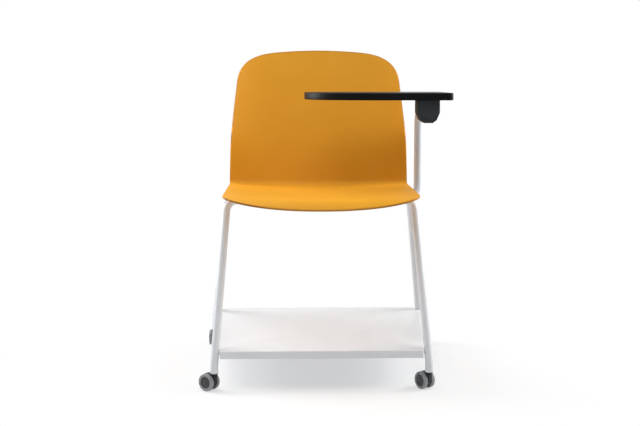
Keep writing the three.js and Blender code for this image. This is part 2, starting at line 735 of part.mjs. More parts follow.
// Tread and hub of one wheel, turned about Z with the inner face at zero
function wheelPieces() {
  const { wheelRadius, wheelWidth, tyreDepth, tyreChamfer, axleRadius, hubInset, hubWall } = castor;
  const rim = wheelRadius - tyreDepth;
  const tyre = turned([
    [rim, 0], [wheelRadius - tyreChamfer, 0], [wheelRadius, tyreChamfer],
    [wheelRadius, wheelWidth - tyreChamfer], [wheelRadius - tyreChamfer, wheelWidth],
    [rim, wheelWidth], [rim, 0],
  ], castor.wheelSides);
  const bore = axleRadius + gap;
  const face = wheelWidth - hubInset;
  const hub = turned([
    [0, face], [0, face - hubWall], [bore, face - hubWall], [bore, gap], [rim - looseGap, gap],
    [rim - looseGap, face], [0, face],
  ], castor.hubSides);
  return { tyre, hub };
}

// Turns a wheel piece so that its axis lies along Y, with a flat of the tread down
function layWheel(geometry, sign) {
  geometry.rotateZ(Math.PI / castor.wheelSides);
  geometry.rotateX(sign > 0 ? -quarterTurn : quarterTurn);
  geometry.translate(castor.trail, (sign * castor.wheelGap) / 2, axleZ());
  return geometry;
}

// One castor under a leg, with its trail turned from -X towards +Y
function castorUnder(place, x, y, turnShare) {
  const group = new THREE.Group();
  group.position.set(x, y, 0);
  group.rotation.z = Math.PI - turnShare * fullTurn;
  addPiece(chair, `${place}_leg_socket`, legSocket().translate(x, y, 0), 'blackPlastic');
  addPiece(group, `${place}_castor_stem`, castorStem(), 'steel');
  addPiece(group, `${place}_castor_hood`, castorHood(), 'blackPlastic');
  const half = castor.wheelGap / 2 + castor.wheelWidth - castor.hubInset - castor.hubWall - gap;
  const axle = bar(castor.axleRadius, -half, half, castor.axleSides);
  axle.rotateX(quarterTurn);
  axle.translate(castor.trail, 0, axleZ());
  addPiece(group, `${place}_castor_axle`, axle, 'steel');
  for (const [side, sign] of [['near', 1], ['far', -1]]) {
    const { tyre, hub } = wheelPieces();
    addPiece(group, `${place}_${side}_tread`, layWheel(tyre, sign), 'greyTread');
    addPiece(group, `${place}_${side}_hub`, layWheel(hub, sign), 'hubPlastic');
  }
  chair.add(group);
}

seatShell();
legTube(frontLegs);
legTube(rearLegs);
for (const [side, sign] of [['left', -1], ['right', 1]]) {
  seatRail(side, sign);
  spacerYs().forEach((y, index) => seatFixing(side, index === 0 ? 'front' : 'rear', sign * rail.centreX, y));
  addShelfScrew(`${side}_front_shelf_screw`, frontLegs, sign);
  addShelfScrew(`${side}_rear_shelf_screw`, rearLegs, sign);
}
shelfTray();
armTube();
armBracket();
tabletHousing();
tabletBoard();
castorUnder('front_left', -frontLegs.footHalfWidth, frontLegs.footY, castorTurnShares.frontLeft);
castorUnder('front_right', frontLegs.footHalfWidth, frontLegs.footY, castorTurnShares.frontRight);
castorUnder('rear_left', -rearLegs.footHalfWidth, rearLegs.footY, castorTurnShares.rearLeft);
castorUnder('rear_right', rearLegs.footHalfWidth, rearLegs.footY, castorTurnShares.rearRight);

// The origin is on the floor, under the middle of the whole chair's box
const box = new THREE.Box3().setFromObject(chair);
const middle = box.getCenter(new THREE.Vector3());
chair.position.set(-middle.x, -middle.y, -box.min.z);
chair.updateMatrixWorld(true);

export default chair;
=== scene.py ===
"""Office chair with a moulded shell, a tube frame on castors, a low shelf and a writing tablet."""
import logging
import math
from dataclasses import dataclass
from enum import Enum
from typing import Callable, Iterable, Sequence

import bmesh
import bpy
from mathutils import Euler, Matrix, Vector


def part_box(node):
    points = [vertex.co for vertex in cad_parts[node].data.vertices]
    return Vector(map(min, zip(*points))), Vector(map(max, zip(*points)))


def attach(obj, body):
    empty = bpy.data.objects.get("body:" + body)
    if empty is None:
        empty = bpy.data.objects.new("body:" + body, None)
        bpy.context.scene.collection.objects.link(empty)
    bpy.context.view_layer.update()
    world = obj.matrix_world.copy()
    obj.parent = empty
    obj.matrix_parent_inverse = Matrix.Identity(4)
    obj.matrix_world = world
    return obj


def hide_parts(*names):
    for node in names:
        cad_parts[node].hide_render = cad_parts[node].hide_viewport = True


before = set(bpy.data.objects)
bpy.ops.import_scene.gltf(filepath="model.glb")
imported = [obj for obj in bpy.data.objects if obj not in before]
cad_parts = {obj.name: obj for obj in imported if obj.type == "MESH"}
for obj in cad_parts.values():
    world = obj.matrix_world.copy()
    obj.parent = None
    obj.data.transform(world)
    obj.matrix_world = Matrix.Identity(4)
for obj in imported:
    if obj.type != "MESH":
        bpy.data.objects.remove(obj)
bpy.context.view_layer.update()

LOG = logging.getLogger("chair")
QUARTER_TURN = math.pi / 2
Points = list[tuple[float, float]]
Triple = tuple[float, float, float]
Socket = bpy.types.NodeSocket
Piece = bpy.types.Object


class Side(Enum):
    """Side of the chair, as seen by someone who stands in front of it."""

    LEFT = -1
    RIGHT = 1

    @property
    def word(self) -> str:
        """Lower-case name that the piece names use."""
        return self.name.lower()


class Slot(Enum):
    """Material slots of the record."""

    SHELL = "shell_plastic"
    WHITE = "white_paint"
    BLACK = "black_plastic"
    BOARD = "tablet_black"
    TREAD = "grey_tread"
    HUB = "hub_plastic"
    STEEL = "steel"


@dataclass(frozen=True)
class Datum:
    """Shift from the chair's own sizes, centred on its shell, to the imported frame, in metres."""

    x: float
    y: float

    @classmethod
    def measure(cls, front_edge: float) -> "Datum":
        """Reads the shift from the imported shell.

        Args:
            front_edge: Depth of the shell's front edge in the chair's own sizes.

        Returns:
            The shift to add to every place.
        """
        low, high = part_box("seat_shell")
        return cls((low.x + high.x) / 2, low.y - front_edge)

    def matrix(self) -> Matrix:
        """The shift as a matrix."""
        return Matrix.Translation((self.x, self.y, 0))


# ---------------------------------------------------------------- finishes


class Kind(Enum):
    """Kinds of pattern, each with its node and the output that carries it."""

    NOISE = ("ShaderNodeTexNoise", "Fac")
    CELLS = ("ShaderNodeTexVoronoi", "Distance")
    EDGES = ("ShaderNodeNewGeometry", "Pointiness")


@dataclass(frozen=True)
class Pattern:
    """Pattern over a surface, on the piece's own coordinates.

    Attributes:
        scale: Repeats per metre.
        detail: Octaves of noise.
        roughness: Weight of its finer octaves.
        stretch: Scale along each axis, for streaks.
        kind: Noise, the distance to scattered points, or how far the surface turns outwards,
            which is about 0.5 where it is flat.
    """

    scale: float = 1
    detail: float = 3
    roughness: float = 0.5
    stretch: Triple | None = None
    kind: Kind = Kind.NOISE


@dataclass(frozen=True)
class Layer:
    """Colour that covers the tones below it where a pattern is strong.

    Attributes:
        colour: Screen colour, from 0 to 255.
        pattern: Pattern that it follows.
        start: Value of the pattern where the layer starts.
        full: Value of the pattern where it is fullest.
        cover: Share of the colour there.
    """

    colour: Triple
    pattern: Pattern
    start: float
    full: float
    cover: float = 1


@dataclass(frozen=True)
class Gloss:
    """Roughness that follows a pattern from its low to its high values."""

    pattern: Pattern
    smoothest: float
    roughest: float
    low: float = 0.3
    high: float = 0.7


@dataclass(frozen=True)
class Relief:
    """Bump of a pattern, with how strongly it shows and its height in metres."""

    pattern: Pattern
    strength: float
    height: float


@dataclass(frozen=True)
class Finish:
    """One surface: its clean screen colour, the layers on it, its gloss and its bumps."""

    colour: Triple
    layers: Sequence[Layer]
    gloss: Gloss
    reliefs: Sequence[Relief]
    specular: float = 0.5
    metallic: float = 0


EDGES = Pattern(kind=Kind.EDGES)
SCRATCHES = Pattern(38, 7, 0.8, (1, 9, 1))
TURNING_LINES = Pattern(260, 4, 0.6, (1, 1, 14))
FINISHES = {
    # Moulded polypropylene with a fine grain, painted shade along its rim and faint scuffs.
    Slot.SHELL: Finish(
        (234, 165, 38),
        (Layer((231, 161, 34), Pattern(7, 4), 0.35, 0.65),
         # Painted shade: dark brown on the rounded rims, standing in for the shadowed underside of
         # the sheet.
         Layer((142, 84, 10), EDGES, 0.508, 0.53, 0.9),
         Layer((240, 176, 66), Pattern(26, 6, 0.7, (1, 3.2, 0.8)), 0.66, 0.78, 0.16)),
        Gloss(Pattern(42, 5, 0.6), 0.53, 0.65),
        (Relief(Pattern(1500, kind=Kind.CELLS), 0.22, 0.00012),
         Relief(Pattern(5, 2), 0.12, 0.0008)),
        specular=0.26),
    # Satin powder coat with dust, rubbed spots and orange peel.
    Slot.WHITE: Finish(
        (225, 228, 232),
        (Layer((221, 224, 229), Pattern(16, 5, 0.6), 0.4, 0.72),
         Layer((214, 217, 222), Pattern(90, 6, 0.75), 0.7, 0.82, 0.35)),
        Gloss(Pattern(60, 4), 0.31, 0.44),
        (Relief(Pattern(420, 2), 0.16, 0.0001),)),
    # Fine textured black plastic of the housing, hoods, spacers and sockets, with a painted
    # highlight along its edges.
    Slot.BLACK: Finish(
        (20, 21, 23),
        (Layer((32, 33, 35), Pattern(34, 5, 0.65), 0.45, 0.75, 0.35),
         # Painted highlight: lighter grey on the rounded edges, where the bevels catch the light.
         Layer((66, 68, 71), EDGES, 0.508, 0.54, 0.7)),
        Gloss(Pattern(70, 5), 0.56, 0.72),
        (Relief(Pattern(2200, kind=Kind.CELLS), 0.25, 0.0001),),
        specular=0.15),
    # Black laminate with a pebbled face and faint writing scratches.
    Slot.BOARD: Finish(
        (10, 10, 12),
        (Layer((15, 16, 18), Pattern(11, 4), 0.35, 0.7),
         Layer((38, 40, 44), SCRATCHES, 0.68, 0.8, 0.3)),
        Gloss(SCRATCHES, 0.3, 0.46, high=0.75),
        (Relief(Pattern(1300, 2), 0.22, 0.00008),),
        specular=0.07),
    # Grey polyurethane, darker where it has rolled on floors.
    Slot.TREAD: Finish(
        (150, 152, 155),
        (Layer((118, 118, 118), Pattern(120, 6, 0.7), 0.45, 0.72, 0.75),),
        Gloss(Pattern(210, 4), 0.49, 0.67),
        (Relief(Pattern(900, 4, 0.6), 0.28, 0.0001),),
        specular=0.4),
    # Dark moulded nylon with some dust.
    Slot.HUB: Finish(
        (58, 59, 61),
        (Layer((86, 86, 86), Pattern(150, 5, 0.65), 0.5, 0.78, 0.5),),
        Gloss(Pattern(90, 4), 0.44, 0.6),
        (Relief(Pattern(2600, kind=Kind.CELLS), 0.22, 0.00008),),
        specular=0.45),
    # Zinc-plated steel of screws, bolts, stems and axles.
    Slot.STEEL: Finish(
        (190, 194, 198),
        (Layer((150, 152, 155), Pattern(300, 5, 0.7), 0.4, 0.7, 0.8),),
        Gloss(TURNING_LINES, 0.24, 0.46),
        (Relief(TURNING_LINES, 0.12, 0.00005),),
        metallic=1),
}


class Graph:
    """Lays out and links the nodes of a world or a material."""

    def __init__(self, owner: bpy.types.World | bpy.types.Material) -> None:
        """Opens the nodes of a world or a material."""
        owner.use_nodes = True
        self.nodes = owner.node_tree.nodes
        self.links = owner.node_tree.links

    def feed(self, node: bpy.types.Node, socket: str | int, value: object) -> None:
        """Links a socket into a node's input, or sets it."""
        if isinstance(value, Socket):
            self.links.new(value, node.inputs[socket])
        else:
            node.inputs[socket].default_value = value

    def add(self, kind: str, inputs: dict[str | int, object], **settings: object) -> bpy.types.Node:
        """Adds a node.

        Args:
            kind: Type of the node.
            inputs: Values or sockets for its inputs.
            **settings: Its properties by name.

        Returns:
            The node.
        """
        node = self.nodes.new(kind)
        for name, value in settings.items():
            setattr(node, name, value)
        for socket, value in inputs.items():
            self.feed(node, socket, value)
        return node

    def remap(self, source: Socket, low: float, high: float, to_low: float,
              to_high: float) -> Socket:
        """A value moved from one range to another and held there."""
        ranges = {"From Min": low, "From Max": high, "To Min": to_low, "To Max": to_high}
        return self.add("ShaderNodeMapRange", {"Value": source, **ranges}).outputs["Result"]

    def math(self, operation: str, first: object, second: object) -> Socket:
        """Two values joined by an operation."""
        node = self.add("ShaderNodeMath", {0: first, 1: second}, operation=operation)
        return node.outputs["Value"]

    def shows_background(self) -> Socket:
        """1 for rays from the camera, a reflection or glass, and 0 for rays that gather light."""
        path = self.nodes.new("ShaderNodeLightPath")
        share = path.outputs["Is Camera Ray"]
        for name in ("Is Glossy Ray", "Is Transmission Ray"):
            share = self.math("MAXIMUM", share, path.outputs[name])
        return share


class Recipe(Graph):
    """Nodes of one finish around its shader."""

    def __init__(self, name: str) -> None:
        """Starts a material of this name with an empty shader."""
        self.material = bpy.data.materials.new(name)
        super().__init__(self.material)
        self.shader = self.nodes["Principled BSDF"]
        self.place = self.nodes.new("ShaderNodeTexCoord").outputs["Object"]

    def pattern(self, pattern: Pattern) -> Socket:
        """Builds a pattern.

        Args:
            pattern: Pattern to build.

        Returns:
            Its values.
        """
        kind, output = pattern.kind.value
        inputs: dict[str | int, object] = {}
        if pattern.kind is not Kind.EDGES:
            inputs = {"Vector": self.place, "Scale": pattern.scale}
        if pattern.kind is Kind.NOISE:
            inputs |= {"Detail": pattern.detail, "Roughness": pattern.roughness}
        if pattern.stretch is not None:
            scaling = {"Vector": self.place, "Scale": pattern.stretch}
            inputs["Vector"] = self.add("ShaderNodeMapping", scaling).outputs["Vector"]
        return self.add(kind, inputs).outputs[output]

    def blend(self, share: Socket, first: object, second: object) -> Socket:
        """Two colours mixed by the share of the second."""
        inputs = {"Factor": share, 6: first, 7: second}
        return self.add("ShaderNodeMix", inputs, data_type="RGBA").outputs[2]

    def gloss(self, gloss: Gloss) -> None:
        """Sets the shader's roughness."""
        rough = self.remap(self.pattern(gloss.pattern), gloss.low, gloss.high, gloss.smoothest,
                           gloss.roughest)
        self.feed(self.shader, "Roughness", rough)

    def emboss(self, reliefs: Sequence[Relief]) -> None:
        """Lays bumps over each other into the shader."""
        under: dict[str | int, object] = {}
        for relief in reliefs:
            inputs = {"Strength": relief.strength, "Distance": relief.height,
                      "Height": self.pattern(relief.pattern), **under}
            under = {"Normal": self.add("ShaderNodeBump", inputs).outputs["Normal"]}
        self.feed(self.shader, "Normal", under["Normal"])

    def follow(self, finish: Finish) -> bpy.types.Material:
        """Builds a finish.

        Args:
            finish: Finish to build.

        Returns:
            Its material.
        """
        tone: object = paint(finish.colour)
        for layer in finish.layers:
            share = self.remap(self.pattern(layer.pattern), layer.start, layer.full, 0, layer.cover)
            tone = self.blend(share, tone, paint(layer.colour))
        self.feed(self.shader, "Base Color", tone)
        self.gloss(finish.gloss)
        self.emboss(finish.reliefs)
        self.feed(self.shader, "Specular IOR Level", finish.specular)
        self.feed(self.shader, "Metallic", finish.metallic)
        return self.material


def paint(screen: Triple) -> tuple[float, ...]:
    """A linear colour with full cover from screen values of 0 to 255."""
    shares = [value / 255 for value in screen]
    return *(s / 12.92 if s <= 0.04045 else ((s + 0.055) / 1.055) ** 2.4 for s in shares), 1.0


class Paintshop:
    """Makes each finish once and hands it out by slot."""

    def __init__(self) -> None:
        """Makes all the finishes."""
        self.materials = {slot: Recipe(slot.value).follow(FINISHES[slot]) for slot in Slot}

    def dress(self, piece: Piece, slot: Slot) -> None:
        """Gives a piece its finish.

        Args:
            piece: Piece to dress.
            slot: Finish that it takes.
        """
        piece.data.materials.clear()
        piece.data.materials.append(self.materials[slot])


# ---------------------------------------------------------------- hand tools


class Bench:
    """Hand tools that shape one piece at a time."""

    @staticmethod
    def clear() -> None:
        """Leaves edit mode and deselects everything."""
        if bpy.context.object is not None and bpy.context.object.mode != "OBJECT":
            bpy.ops.object.mode_set(mode="OBJECT")
        bpy.ops.object.select_all(action="DESELECT")

    @staticmethod
    def take(piece: Piece) -> None:
        """Selects one piece alone."""
        Bench.clear()
        piece.select_set(True)
        bpy.context.view_layer.objects.active = piece

    @staticmethod
    def settle(name: str = "") -> Piece:
        """Names the active piece, if a name is given, and sets its place into its mesh."""
        piece = bpy.context.object
        if name:
            piece.name = name
            piece.data.name = name
        bpy.ops.object.transform_apply(location=True, rotation=True, scale=True)
        return piece

    @staticmethod
    def open(piece: Piece) -> None:
        """Enters edit mode on a piece, with all its points selected."""
        Bench.take(piece)
        bpy.ops.object.mode_set(mode="EDIT")
        bpy.ops.mesh.select_mode(type="VERT")
        bpy.ops.mesh.select_all(action="SELECT")

    @staticmethod
    def mark(piece: Piece, choose: Callable[[bmesh.types.BMesh], Iterable],
             flush: bool = True) -> None:
        """Selects points or edges of a piece in edit mode.

        Args:
            piece: Piece in edit mode.
            choose: Picks them from the mesh.
            flush: Whether the faces between them are selected too.
        """
        bpy.ops.mesh.select_all(action="DESELECT")
        mesh = bmesh.from_edit_mesh(piece.data)
        mesh.verts.ensure_lookup_table()
        for element in choose(mesh):
            element.select = True
        if flush:
            mesh.select_flush(True)
        bmesh.update_edit_mesh(piece.data)

    @staticmethod
    def place(piece: Piece, places: Sequence[Vector]) -> None:
        """Moves the points of a piece, in their order, to given places."""
        mesh = bmesh.from_edit_mesh(piece.data)
        mesh.verts.ensure_lookup_table()
        for point, place in zip(mesh.verts, places):
            point.co = place
        bmesh.update_edit_mesh(piece.data)

    @staticmethod
    def draw(shift: Sequence[float]) -> None:
        """Extrudes what is selected along a shift."""
        bpy.ops.mesh.extrude_region_move(TRANSFORM_OT_translate={"value": tuple(shift)})

    @staticmethod
    def widen(factor: Sequence[float], centre: Sequence[float]) -> None:
        """Scales what is selected about a centre."""
        bpy.ops.transform.resize(value=tuple(factor), center_override=tuple(centre))

    @staticmethod
    def cap() -> None:
        """Closes the selected ring with a face."""
        bpy.ops.mesh.edge_face_add()

    @staticmethod
    def face_out() -> None:
        """Points the faces of the piece in edit mode outwards and leaves edit mode."""
        bpy.ops.mesh.select_all(action="SELECT")
        bpy.ops.mesh.normals_make_consistent(inside=False)
        bpy.ops.object.mode_set(mode="OBJECT")

    @staticmethod
    def smooth(piece: Piece, angle: float) -> Piece:
        """Makes the edges that are flatter than an angle in degrees look smooth."""
        Bench.take(piece)
        bpy.ops.object.shade_smooth_by_angle(angle=math.radians(angle))
        return piece

    @staticmethod
    def round_edges(piece: Piece, width: float, segments: int, angle: float) -> None:
        """Rounds the edges that are sharper than an angle in degrees."""
        Bench.modify(piece, "BEVEL", width=width, segments=segments, limit_method="ANGLE",
                     angle_limit=math.radians(angle))

    @staticmethod
    def close(piece: Piece, bevel: float = 0.0, segments: int = 3, angle: float = 35.0,
              smooth: float = 40.0) -> Piece:
        """Merges doubles, points the faces outwards, rounds the edges and smooths the piece.

        Args:
            piece: Piece to finish.
            bevel: Width of the rounded edges, or 0 for none.
            segments: Steps of each rounded edge.
            angle: Edges sharper than this are rounded, in degrees.
            smooth: Edges flatter than this look smooth, in degrees.

        Returns:
            The piece.
        """
        if piece.mode != "EDIT":
            Bench.open(piece)
        bpy.ops.mesh.select_all(action="SELECT")
        bpy.ops.mesh.remove_doubles(threshold=0.000002)
        Bench.face_out()
        if bevel > 0:
            Bench.round_edges(piece, bevel, segments, angle)
        return Bench.smooth(piece, smooth)

    @staticmethod
    def modify(piece: Piece, kind: str, **settings: object) -> None:
        """Adds a modifier, sets it by name and applies it."""
        Bench.take(piece)
        modifier = piece.modifiers.new(kind.title(), kind)
        for name, value in settings.items():
            setattr(modifier, name, value)
        bpy.ops.object.modifier_apply(modifier=modifier.name)

    @staticmethod
    def copy(piece: Piece, name: str, place: Matrix) -> Piece:
        """Copies a piece with its own mesh and sets the new place into the mesh."""
        Bench.take(piece)
        bpy.ops.object.duplicate(linked=False)
        bpy.context.object.matrix_world = place
        return Bench.settle(name)

    @staticmethod
    def stand(piece: Piece, y: float = 0.0) -> Piece:
        """Turns a piece up, so that it was drawn towards the front, and moves it along Y."""
        Bench.take(piece)
        piece.rotation_euler = (QUARTER_TURN, 0, 0)
        piece.location = (0, y, 0)
        return Bench.settle()

    @staticmethod
    def discard(*pieces: Piece) -> None:
        """Removes pieces that only served as patterns or cutters."""
        Bench.clear()
        for piece in pieces:
            bpy.data.objects.remove(piece)

    @staticmethod
    def turned(name: str, profile: Points, sides: int, closed_ring: bool = False,
               socket: float = 0.0, **rounding: float) -> Piece:
        """A round body about Z, drawn up ring by ring.

        Args:
            name: Name of the piece.
            profile: Radius and height of each ring.
            sides: Corners of a ring.
            closed_ring: Whether the last ring is the first one again, so nothing is capped.
            socket: Half width across the flats of a hexagonal socket, for the first two rings.
            **rounding: How its edges are rounded and smoothed, as for close.

        Returns:
            The piece.
        """
        radius, height = profile[0]
        Bench.clear()
        bpy.ops.mesh.primitive_circle_add(vertices=sides, radius=radius, location=(0, 0, height))
        piece = Bench.settle(name)
        Bench.open(piece)
        if socket > 0:
            Bench._reshape(piece, lambda a: socket / math.cos(a % (math.pi / 3) - math.pi / 6))
        for index, (last, ring) in enumerate(zip(profile, profile[1:])):
            Bench.draw((0, 0, ring[1] - last[1]))
            if socket > 0 and index == 1:
                Bench._reshape(piece, lambda a, reach=ring[0]: reach)
            elif socket == 0 or index > 1:
                Bench.widen((ring[0] / last[0], ring[0] / last[0], 1), (0, 0, ring[1]))
        if not closed_ring:
            Bench.cap()
            Bench.mark(piece, lambda mesh: mesh.verts[:sides])
            Bench.cap()
        return Bench.close(piece, **rounding)

    @staticmethod
    def _reshape(piece: Piece, reach: Callable[[float], float]) -> None:
        """Moves the selected ring to the radius that is wanted at each angle."""
        mesh = bmesh.from_edit_mesh(piece.data)
        for point in (p for p in mesh.verts if p.select):
            angle = math.atan2(point.co.y, point.co.x)
            radius = reach(angle)
            point.co.x, point.co.y = radius * math.cos(angle), radius * math.sin(angle)
        bmesh.update_edit_mesh(piece.data)

    @staticmethod
    def sleeve(name: str, inner: float, outer: float, low: float, high: float,
               **rounding: float) -> Piece:
        """A plain ring about Z, rounded as for close."""
        profile = [(inner, low), (outer, low), (outer, high), (inner, high), (inner, low)]
        return Bench.turned(name, profile, sides=48, closed_ring=True, **rounding)

    @staticmethod
    def face(name: str, outline: Points, z: float) -> Piece:
        """A flat face cut to an outline, left open in edit mode."""
        Bench.clear()
        bpy.ops.mesh.primitive_circle_add(vertices=len(outline), radius=1, fill_type="NGON")
        piece = Bench.settle(name)
        Bench.open(piece)
        Bench.place(piece, [Vector((x, y, z)) for x, y in outline])
        return piece

    @staticmethod
    def plate(name: str, outline: Points, low: float, high: float, **rounding: float) -> Piece:
        """A flat face drawn up to its height.

        Args:
            name: Name of the piece.
            outline: Corners in order, seen from above.
            low: Height of the underside.
            high: Height of the top.
            **rounding: How its edges are rounded and smoothed, as for close.

        Returns:
            The piece.
        """
        piece = Bench.face(name, outline, low)
        Bench.draw((0, 0, high - low))
        return Bench.close(piece, **rounding)

    @staticmethod
    def tube(name: str, corners: Sequence[tuple[Vector, float]], radius: float, wall: float,
             sides: int = 40, bend_steps: int = 14) -> Piece:
        """A round tube drawn out along straight runs and spun round its bends.

        Args:
            name: Name of the piece.
            corners: Each corner of the route with the radius of its bend.
            radius: Outer radius of the tube.
            wall: Thickness of its wall, which shows at its open ends.
            sides: Corners of a ring.
            bend_steps: Rings in each bend.

        Returns:
            The piece.
        """
        points = [corner for corner, _ in corners]
        heading = (points[1] - points[0]).normalized()
        Bench.clear()
        bpy.ops.mesh.primitive_circle_add(
            vertices=sides, radius=radius, location=points[0],
            rotation=heading.to_track_quat("Z", "Y").to_euler())
        piece = Bench.settle(name)
        Bench.open(piece)
        here = points[0].copy()
        for index in range(1, len(points) - 1):
            before = (points[index - 1] - points[index]).normalized()
            after = (points[index + 1] - points[index]).normalized()
            turn = math.pi - before.angle(after)
            bend = corners[index][1]
            start = points[index] + before * (bend * math.tan(turn / 2))
            centre = points[index] + (before + after).normalized() * (bend / math.cos(turn / 2))
            axis = (-before).cross(after).normalized()
            Bench.draw(start - here)
            bpy.ops.mesh.spin(steps=bend_steps, angle=turn, center=centre, axis=-axis)
            here = points[index] + after * (bend * math.tan(turn / 2))
        Bench.draw(points[-1] - here)
        inward = (points[-2] - points[-1]).normalized()
        Bench._hollow_end(points[-1], inward, radius, wall)
        Bench.mark(piece, lambda mesh: mesh.verts[:sides])
        Bench._hollow_end(points[0], heading, radius, wall)
        return Bench.close(piece, bevel=0.0004, segments=2, angle=60, smooth=50)

    @staticmethod
    def _hollow_end(centre: Vector, inward: Vector, radius: float, wall: float) -> None:
        """Turns the selected end ring in over the wall and a little way up the bore."""
        share = (radius - wall) / radius
        Bench.draw((0, 0, 0))
        Bench.widen((share, share, share), centre)
        Bench.draw(inward * (2 * radius))
        Bench.cap()


# ---------------------------------------------------------------- sub-assemblies


class Assembly:
    """What each sub-assembly shares: the finishes, the datum and the hand-over of its pieces."""

    body = "frame"

    def __init__(self, paintshop: Paintshop, datum: Datum) -> None:
        """Keeps the finishes and the datum.

        Args:
            paintshop: Finishes of the chair.
            datum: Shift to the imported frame.
        """
        self.paintshop = paintshop
        self.datum = datum

    def hand_over(self, piece: Piece, slot: Slot, node: str, body: str = "") -> None:
        """Dresses a finished piece, ties it to its body and lets it stand for a CAD node.

        Args:
            piece: Piece in the chair's own sizes.
            slot: Finish that it takes.
            node: CAD node that it stands for.
            body: Body that it rides on, or none for that of the sub-assembly.
        """
        Bench.take(piece)
        piece.data.transform(self.datum.matrix())
        self.paintshop.dress(piece, slot)
        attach(piece, body or self.body)
        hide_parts(node)
        LOG.info("%s: %d faces on %s", piece.name, len(piece.data.polygons), body or self.body)

    def fit(self, pattern: Piece, name: str, place: Matrix, slot: Slot, node: str,
            body: str = "") -> None:
        """Copies a pattern to its place and hands the copy over.

        Args:
            pattern: Piece to copy.
            name: Name of the copy.
            place: Where the copy goes.
            slot: Finish that it takes, as for hand_over.
            node: CAD node that it stands for.
            body: Body that it rides on.
        """
        self.hand_over(Bench.copy(pattern, name, place), slot, node, body)


@dataclass(frozen=True)
class ShellSizes:
    """Sizes of the one-piece seat and back, in metres."""

    half_width: float = 0.245
    top_half_width: float = 0.2085
    taper_power: float = 1.4
    thickness: float = 0.005
    rim_round: float = 0.0021
    pan_top: float = 0.474
    edge_rise: float = 0.006
    front: float = -0.290
    front_corner: float = 0.110
    front_corner_power: float = 3.8
    lip_length: float = 0.044
    lip_drop: float = 0.019
    lip_power: float = 2.2
    lip_angle_share: float = 0.5
    bend_start: float = 0.111
    bend_radius: float = 0.020
    recline_share: float = 0.148
    back_length: float = 0.3665
    top_corner: float = 0.074
    top_corner_power: float = 6.8
    top_crown: float = 0.019
    wrap: float = 0.042
    wrap_power: float = 4.0
    wrap_rise: float = 0.139


class SeatShell(Assembly):
    """Seat and back moulded in one sheet, with a turned-down front and a wrapped back."""

    sizes = ShellSizes()
    columns = 88
    rows = (12, 18, 12, 46)
    seat_y = -0.1

    def surface(self, across: float, row: float) -> Vector:
        """A place on the upper surface.

        Args:
            across: From -1 at the left edge to 1 at the right.
            row: Rows from the front edge.

        Returns:
            The place in the chair's own sizes.
        """
        size = self.sizes
        lip, pan, bend, back = self.rows
        pan_z = size.pan_top + size.edge_rise * across * across
        edge = size.front + size.front_corner * self._corner(across, size.front_corner_power)
        if row <= lip:
            full = QUARTER_TURN * size.lip_angle_share
            angle = full * (1 - row / lip)
            drop_share = (1 - math.cos(angle)) / (1 - math.cos(full))
            drop = size.lip_drop * (1 - abs(across) ** size.lip_power) * drop_share
            y = edge + size.lip_length * (1 - math.sin(angle) / math.sin(full))
            return Vector((across * size.half_width, y, pan_z - drop))
        if row <= lip + pan:
            start = edge + size.lip_length
            y = start + (size.bend_start - start) * (row - lip) / pan
            return Vector((across * size.half_width, y, pan_z))
        return self._back(across, (row - lip - pan) / bend, (row - lip - pan - bend) / back)

    def _back(self, across: float, bend_share: float, back_share: float) -> Vector:
        """A place on the bend or the back, from the shares of each that are passed."""
        size = self.sizes
        square = across * across
        full = QUARTER_TURN * (1 - size.recline_share)
        bend_share = min(bend_share, 1)
        angle = full * bend_share
        corner = size.top_corner * self._corner(across, size.top_corner_power)
        length = max(back_share, 0) * (size.back_length - corner - size.top_crown * square)
        rise = (bend_share * size.bend_radius + length) / (size.bend_radius + size.wrap_rise)
        rise = min(max(rise, 0), 1)
        rise = rise * rise * (3 - 2 * rise)
        wrap = size.wrap * abs(across) ** size.wrap_power
        lift = size.edge_rise * square * (1 - rise) + wrap * rise
        y = size.bend_start + size.bend_radius * math.sin(angle) + length * math.cos(full)
        z = size.pan_top + size.bend_radius * (1 - math.cos(angle)) + length * math.sin(full)
        taper = (length / size.back_length) ** size.taper_power
        width = size.half_width + (size.top_half_width - size.half_width) * taper
        return Vector((across * width, y - lift * math.sin(angle), z + lift * math.cos(angle)))

    @staticmethod
    def _corner(across: float, power: float) -> float:
        """Share of a corner's rounding at a place across."""
        return 1 - math.sqrt(max(0.0, 1 - abs(across) ** power))

    def build(self) -> None:
        """Shapes the sheet from a grid, gives it its wall and rounds its rim."""
        total = sum(self.rows)
        Bench.clear()
        bpy.ops.mesh.primitive_grid_add(x_subdivisions=self.columns, y_subdivisions=total, size=2)
        shell = Bench.settle("moulded_shell")
        places = [self.surface(math.sin(QUARTER_TURN * p.co.x), (p.co.y + 1) / 2 * total)
                  for p in shell.data.vertices]
        Bench.open(shell)
        Bench.place(shell, places)
        Bench.face_out()
        self._face_sitter(shell)
        Bench.modify(shell, "SOLIDIFY", thickness=self.sizes.thickness, offset=-1,
                     use_even_offset=False)
        Bench.round_edges(shell, self.sizes.rim_round, segments=3, angle=55)
        self.hand_over(Bench.smooth(shell, 50), Slot.SHELL, "seat_shell")

    def _face_sitter(self, shell: Piece) -> None:
        """Turns the sheet so that its faces point at the sitter."""
        seat = Vector((0, self.seat_y, self.sizes.pan_top))
        middle = min(shell.data.polygons, key=lambda face: (face.center - seat).length)
        if middle.normal.z < 0:
            Bench.open(shell)
            bpy.ops.mesh.flip_normals()
            bpy.ops.object.mode_set(mode="OBJECT")


M6 = (0.003, 0.006, 0.004)  # Shank radius, head radius and head height, as in the next two.
M5 = (0.0025, 0.0045, 0.003)
M4 = (0.002, 0.004, 0.003)


